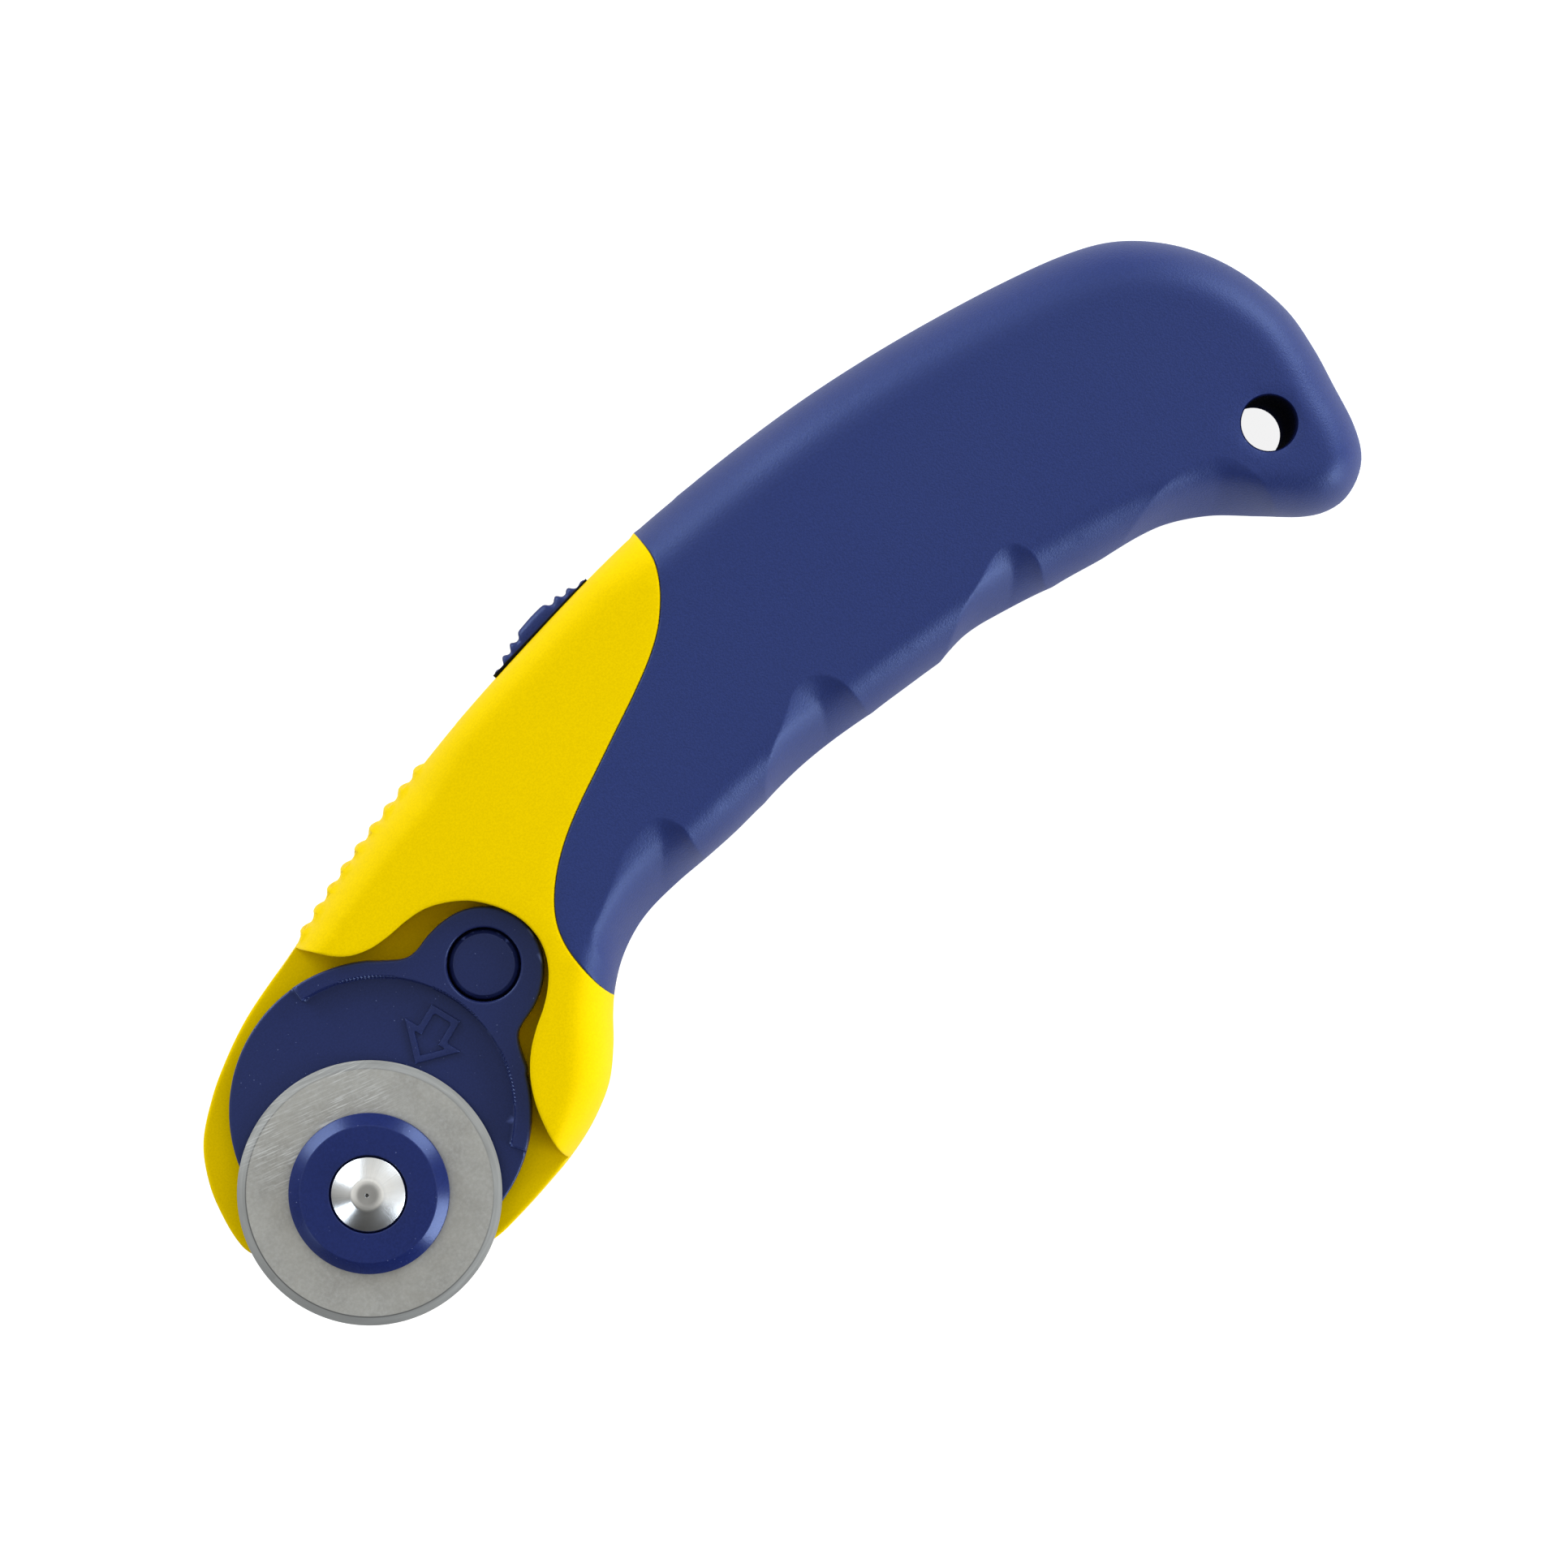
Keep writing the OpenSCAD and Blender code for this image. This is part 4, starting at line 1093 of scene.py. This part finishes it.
def steel(name, colour, rough, brush=None, aniso=0.0, radial=False, stains=False):
    m, nt, b = material(name)
    v = coords(nt)
    b.inputs["Metallic"].default_value = 1.0
    drift = noise(nt, v, 220.0, 4.0, 0.6)
    col = mix(nt, mapped(nt, drift, 0.0, 1.0, 0.35, 0.65), colour, tuple(c * 0.86 for c in colour[:3]) + (1.0,))
    if radial:
        # painted reflection: the middle is painted darker, a painted dark reflection; fine streaks run outwards, and a
        # near-black dot sits at the very centre
        g = nt.nodes.new("ShaderNodeTexGradient")
        g.gradient_type = "RADIAL"
        nt.links.new(coords(nt), g.inputs[0])
        ray = noise(nt, mapped(nt, g.outputs[0], 0.0, 14.0), 9.0, 2.0, 0.6)
        col = mix(nt, mapped(nt, ray, 0.0, 0.35, 0.45, 0.7), col, tuple(c * 0.7 for c in colour[:3]) + (1.0,))
        flat = nt.nodes.new("ShaderNodeVectorMath")
        flat.operation = "LENGTH"
        nt.links.new(coords(nt, (1.0, 1.0, 0.0)), flat.inputs[0])
        # painted reflection: darker towards the middle
        col = mix(nt, mapped(nt, flat.outputs["Value"], 0.75, 0.0, 0.0009, 0.0021), col, tuple(c * 0.5 for c in colour[:3]) + (1.0,))
        col = mix(nt, mapped(nt, flat.outputs["Value"], 0.85, 0.0, 0.00012, 0.00024), col, (0.03, 0.03, 0.03, 1.0))
    nt.links.new(col, b.inputs["Base Color"])
    nt.links.new(mapped(nt, drift, rough - 0.05, rough + 0.06, 0.3, 0.7), b.inputs["Roughness"])
    b.inputs["Anisotropic"].default_value = aniso
    if radial:
        t = nt.nodes.new("ShaderNodeTangent")
        t.direction_type = "RADIAL"
        t.axis = "Z"
        nt.links.new(t.outputs[0], b.inputs["Tangent"])
    if brush:
        fine = noise(nt, coords(nt, brush), 900.0, 3.0, 0.6)
        bump(nt, b, fine, 0.12, 0.00005)
    return m


BOLT = steel("polished_bolt_steel", (0.93, 0.92, 0.87, 1.0), 0.23, None, 0.5, True)
ZINC = steel("zinc_plated_steel", (0.62, 0.63, 0.66, 1.0), 0.32, (1, 8, 1))
SPRING = steel("spring_steel", (0.5, 0.5, 0.5, 1.0), 0.3, (8, 1, 1))
BRASS = steel("brass", (0.78, 0.57, 0.25, 1.0), 0.28, (1, 6, 1))


def blade_steel():
    """Ground steel: fine cross-hatched grinding, worn bands, faint stains, and a ground bevel, painted darker on one
    side as painted shade, with a thin painted dark line where it starts.
    """
    m, nt, b = material("blade_steel")
    tc = nt.nodes.new("ShaderNodeTexCoord")
    v = tc.outputs["Object"]
    sep = nt.nodes.new("ShaderNodeSeparateXYZ")
    nt.links.new(v, sep.inputs[0])

    def math_node(op, a, c=None):
        n = nt.nodes.new("ShaderNodeMath")
        n.operation = op
        for k, val in enumerate((a, c)):
            if val is None:
                continue
            if isinstance(val, (int, float)):
                n.inputs[k].default_value = val
            else:
                nt.links.new(val, n.inputs[k])
        return n.outputs[0]

    x = math_node("SUBTRACT", sep.outputs[0], AX / 1000.0)
    y = math_node("SUBTRACT", sep.outputs[1], AY / 1000.0)
    rad = math_node("SQRT", math_node("ADD", math_node("MULTIPLY", x, x), math_node("MULTIPLY", y, y)))
    angle = math_node("ARCTAN2", y, x)
    comb = nt.nodes.new("ShaderNodeCombineXYZ")
    nt.links.new(math_node("MULTIPLY", rad, 60.0), comb.inputs[0])
    nt.links.new(math_node("MULTIPLY", angle, 0.05), comb.inputs[1])
    rings = noise(nt, comb.outputs[0], 30.0, 3.0, 0.6)
    rough_mask = noise(nt, v, 190.0, 4.0, 0.6)
    grind = noise(nt, v, 2600.0, 3.0, 0.65)
    stain = noise(nt, v, 120.0, 5.0, 0.65)
    base = mix(nt, mapped(nt, rough_mask, 0.0, 1.0, 0.35, 0.68), (0.465, 0.45, 0.395, 1.0), (0.355, 0.34, 0.3, 1.0))
    base = mix(nt, mapped(nt, grind, 0.0, 0.35, 0.4, 0.75), base, (0.62, 0.62, 0.575, 1.0))
    base = mix(nt, mapped(nt, stain, 0.0, 0.5, 0.56, 0.74), base, (0.34, 0.32, 0.27, 1.0))
    bevel = mapped(nt, rad, 0.0, 1.0, 0.01306, 0.01314)
    shade = mapped(nt, rings, 0.0, 1.0, 0.35, 0.7)
    bev = mix(nt, shade, (0.45, 0.45, 0.42, 1.0), (0.31, 0.31, 0.29, 1.0))
    # painted shade: the bevel is painted darker on one side, as the light falls, and a thin painted dark line stands
    # where it starts, strongest on that side
    side = math_node("COSINE", math_node("SUBTRACT", angle, math.radians(200)))
    bev = mix(nt, mapped(nt, side, 0.0, 0.6, 0.1, 0.95), bev, (0.24, 0.24, 0.225, 1.0))
    out = mix(nt, bevel, base, bev)
    near = math_node("ABSOLUTE", math_node("SUBTRACT", rad, 0.0131))
    line = math_node("MULTIPLY", mapped(nt, near, 1.0, 0.0, 0.00003, 0.0001), mapped(nt, side, 0.25, 0.9, -0.5, 0.7))
    out = mix(nt, line, out, (0.1, 0.1, 0.095, 1.0))
    # fine slanted scratches on one side of the face
    t = math.radians(-18)
    su = math_node("ADD", math_node("MULTIPLY", x, math.cos(t)), math_node("MULTIPLY", y, math.sin(t)))
    sv = math_node("SUBTRACT", math_node("MULTIPLY", y, math.cos(t)), math_node("MULTIPLY", x, math.sin(t)))
    sc = nt.nodes.new("ShaderNodeCombineXYZ")
    nt.links.new(math_node("MULTIPLY", su, 0.045), sc.inputs[0])
    nt.links.new(sv, sc.inputs[1])
    scratch = noise(nt, sc.outputs[0], 6400.0, 2.0, 0.7)
    away = math_node("SQRT", math_node("ADD", math_node("POWER", math_node("SUBTRACT", x, 0.001), 2.0), math_node("POWER", math_node("SUBTRACT", y, 0.01), 2.0)))
    where = math_node("MULTIPLY", mapped(nt, away, 1.0, 0.0, 0.005, 0.0105), mapped(nt, rough_mask, 0.3, 1.0, 0.4, 0.6))
    hit = math_node("MULTIPLY", mapped(nt, scratch, 0.0, 0.7, 0.5, 0.64), where)
    out = mix(nt, hit, out, (0.82, 0.82, 0.77, 1.0))
    nt.links.new(out, b.inputs["Base Color"])
    b.inputs["Metallic"].default_value = 0.55
    nt.links.new(mapped(nt, rough_mask, 0.36, 0.5, 0.35, 0.68), b.inputs["Roughness"])
    bump(nt, b, grind, 0.1, 0.00004)
    return m


BLADE = blade_steel()


def paint(o, m):
    o.data.materials.clear()
    o.data.materials.append(m)


def use(o, body, nodes, slot, mat):
    paint(o, mat)
    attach(o, body)
    if nodes:
        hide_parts(*nodes)


# ---------------------------------------------------------------- the pieces
front_yellow, front_blue = front_half()
back_yellow, back_blue = back_half()
use(front_yellow, "handle", ["body_front_shell"], "yellow_shell", YELLOW)
use(back_yellow, "handle", ["body_back_shell"], "yellow_shell", YELLOW)
use(front_blue, "handle", ["grip_front"], "blue_grip", GRIP)
use(back_blue, "handle", ["grip_back"], "blue_grip", GRIP)

use(guard(), "guard", ["guard_plate"], "blue_guard", GUARD)
use(blade(), "blade", ["blade"], "blade_steel", BLADE)
use(screws(), "handle", ["shell_screws"], "zinc_steel", ZINC)
use(slider(), "slider", ["thumb_slider"], "blue_guard", SLIDER)

zr = Z_BLADE + 0.4
ring_piece = lathe("ring", fillet(
    [(2.1, zr + 0.35), (5.6, zr + 0.35), (5.8, zr), (8.5, zr), (8.5, zr + 0.72), (7.25, zr + 1.72), (4.12, zr + 1.72), (4.12, zr + 0.9), (2.1, zr + 0.9)],
    [0, 0, 0, 0.12, 0.2, 0.3, 0.16, 0.1, 0]), (0, 0), 160)
use(ring_piece, "handle", ["retaining_ring"], "blue_gloss", GLOSS)

zh = zr + 1.0
bolt = lathe("bolt", fillet(
    [(0, zh + 1.86), (0.1, zh + 1.9), (0.2, zh + 2.08), (1.1, zh + 2.05), (1.65, zh + 1.93), (3.9, zh + 0.66), (3.98, zh + 0.45), (3.98, zh), (2.0, zh), (2.0, 11.5), (1.6, 11.3), (1.6, 4.4),
     (1.9, 4.2), (1.9, 1.2), (1.6, 0.9), (0, 0.9)],
    [0, 0.04, 0.05, 2.5, 1.2, 0.12, 0.2, 0.05, 0.05, 0, 0, 0, 0.1, 0.1, 0, 0]), (0, 0), 128, closed=False)
use(bolt, "handle", ["blade_bolt"], "polished_steel", BOLT)

pz = Z_BLADE - 2.4
pin = lathe("pivot", fillet(
    [(0, pz + 2.8), (3.25, pz + 2.8), (3.62, pz + 2.45), (3.85, pz + 1.6), (3.9, pz + 1.2), (3.9, pz), (3.0, pz - 0.02), (3.0, 10.2), (2.2, 10.2), (2.2, 7.4), (0, 7.4)],
    [0, 0.2, 0.3, 0.3, 0, 0.05, 0, 0, 0, 0.1, 0]), (P0[0], P0[1]), 96, closed=False)
use(pin, "slider", ["pivot_pin"], "blue_guard", GUARD)


def flutes(a, r, z):
    """Eight finger flutes round the nut."""
    if r < 4.5:
        return r
    k = (a / (math.pi / 4)) % 1.0
    k = min(k, 1 - k) * (math.pi / 4)
    # circle of radius 2 centred 8.7 out
    c = 8.7
    s = c * math.sin(k)
    if s >= 2.0:
        return r
    lim = c * math.cos(k) - math.sqrt(4.0 - s * s)
    return min(r, lim)


nut = lathe("nut", fillet(
    [(2.0, 1.75), (3.4, 1.75), (3.4, 0.62), (6.2, 0.62), (7.1, 0.95), (7.6, 1.7), (7.6, 3.0), (7.2, 3.5), (2.0, 3.5)],
    [0, 0.1, 0.15, 0.3, 0.3, 0.3, 0.2, 0.15, 0]), (0, 0), 256, flutes)
use(nut, "nut", ["thumb_nut"], "blue_gloss", GLOSS)

for node, mat in (("spindle_bush", ZINC), ("spring_washer", SPRING), ("nut_washer", ZINC), ("nut_insert", BRASS), ("slide_bar", ZINC),
                  ("detent_spring", SPRING)):
    paint(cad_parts[node], mat)

# ---------------------------------------------------------------- floor and light


def floor_material():
    """A white light table: pale, with its own glow, so that only a faint shadow shows."""
    m, nt, b = material("floor_white")
    b.inputs["Base Color"].default_value = (0.45, 0.45, 0.45, 1.0)
    b.inputs["Roughness"].default_value = 0.9
    b.inputs["Specular IOR Level"].default_value = 0.1
    b.inputs["Emission Color"].default_value = (1.0, 1.0, 1.0, 1.0)
    n = nt.nodes.new("ShaderNodeVectorMath")
    n.operation = "LENGTH"
    nt.links.new(coords(nt), n.inputs[0])
    # the glow is mostly for the eye: about half of it reaches the object
    ray = nt.nodes.new("ShaderNodeLightPath")
    k = nt.nodes.new("ShaderNodeMath")
    k.operation = "MAXIMUM"
    nt.links.new(mapped(nt, n.outputs["Value"], 0.484, 0.165, 0.13, 0.45), k.inputs[0])
    nt.links.new(mapped(nt, ray.outputs["Is Camera Ray"], 0.0, 0.88), k.inputs[1])
    nt.links.new(k.outputs[0], b.inputs["Emission Strength"])
    return m


fm = bpy.data.meshes.new("floor")
fm.from_pydata([(-2, -2, -0.0002), (2, -2, -0.0002), (2, 2, -0.0002), (-2, 2, -0.0002)], [], [(0, 1, 2, 3)])
floor = bpy.data.objects.new("floor", fm)
bpy.context.scene.collection.objects.link(floor)
fm.materials.append(floor_material())


def area(name, loc, target, size, power, colour=(1, 1, 1)):
    d = bpy.data.lights.new(name, "AREA")
    d.shape = "RECTANGLE"
    d.size, d.size_y = size
    d.energy = power
    d.color = colour
    o = bpy.data.objects.new(name, d)
    o.location = loc
    o.rotation_euler = (Vector(target) - Vector(loc)).to_track_quat("-Z", "Y").to_euler()
    o.visible_camera = False
    bpy.context.scene.collection.objects.link(o)
    return o


def soft_box(name, azimuth, elevation, size, power):
    a, e = math.radians(azimuth), math.radians(elevation)
    area(name, (0.95 * math.cos(a) * math.cos(e), 0.95 * math.sin(a) * math.cos(e), 0.95 * math.sin(e)), (0, 0, 0.01), size, power,
         (0.74, 0.84, 1.0))


# four soft boxes round the table, slightly cool, and a pale room that is darker on one side
soft_box("soft_far", 98, 18, (0.6, 0.44), 6.8)
soft_box("soft_tail", 5, 17, (0.5, 0.44), 6.8)
soft_box("soft_near", -72, 14, (0.6, 0.4), 8.6)
soft_box("soft_head", 176, 20, (0.3, 0.28), 0.9)
world = bpy.data.worlds.new("world")
bpy.context.scene.world = world
world.use_nodes = True
wn = world.node_tree


def world_dot(direction, a, b, lo, hi):
    """Runs from lo to hi while the direction's share goes from a to b."""
    n = wn.nodes.new("ShaderNodeVectorMath")
    n.operation = "DOT_PRODUCT"
    n.inputs[1].default_value = direction
    wn.links.new(_tc.outputs["Generated"], n.inputs[0])
    return mapped(wn, n.outputs["Value"], lo, hi, a, b)


_tc = wn.nodes.new("ShaderNodeTexCoord")
_up = world_dot((0.0, 0.0, 1.0), 0.33, 0.72, 0.25, 0.96)
_cap = world_dot((0.0, 0.0, 1.0), 0.9, 0.985, 1.0, 0.4)
_dark = world_dot((math.cos(math.radians(-140)), math.sin(math.radians(-140)), 0.0), 0.15, 0.6, 1.0, 0.2)
_mul = wn.nodes.new("ShaderNodeMath")
_mul.operation = "MULTIPLY"
wn.links.new(_up, _mul.inputs[0])
wn.links.new(_dark, _mul.inputs[1])
_mul2 = wn.nodes.new("ShaderNodeMath")
_mul2.operation = "MULTIPLY"
wn.links.new(_mul.outputs[0], _mul2.inputs[0])
wn.links.new(_cap, _mul2.inputs[1])
wn.nodes["Background"].inputs[0].default_value = (1, 1, 1, 1)
_ray = wn.nodes.new("ShaderNodeLightPath")
_seen = wn.nodes.new("ShaderNodeMath")
_seen.operation = "MAXIMUM"
wn.links.new(_mul2.outputs[0], _seen.inputs[0])
wn.links.new(mapped(wn, _ray.outputs["Is Camera Ray"], 0.0, 0.93), _seen.inputs[1])
wn.links.new(_seen.outputs[0], wn.nodes["Background"].inputs[1])

bpy.context.scene.view_settings.view_transform = "Standard"
bpy.context.scene.view_settings.look = "None"
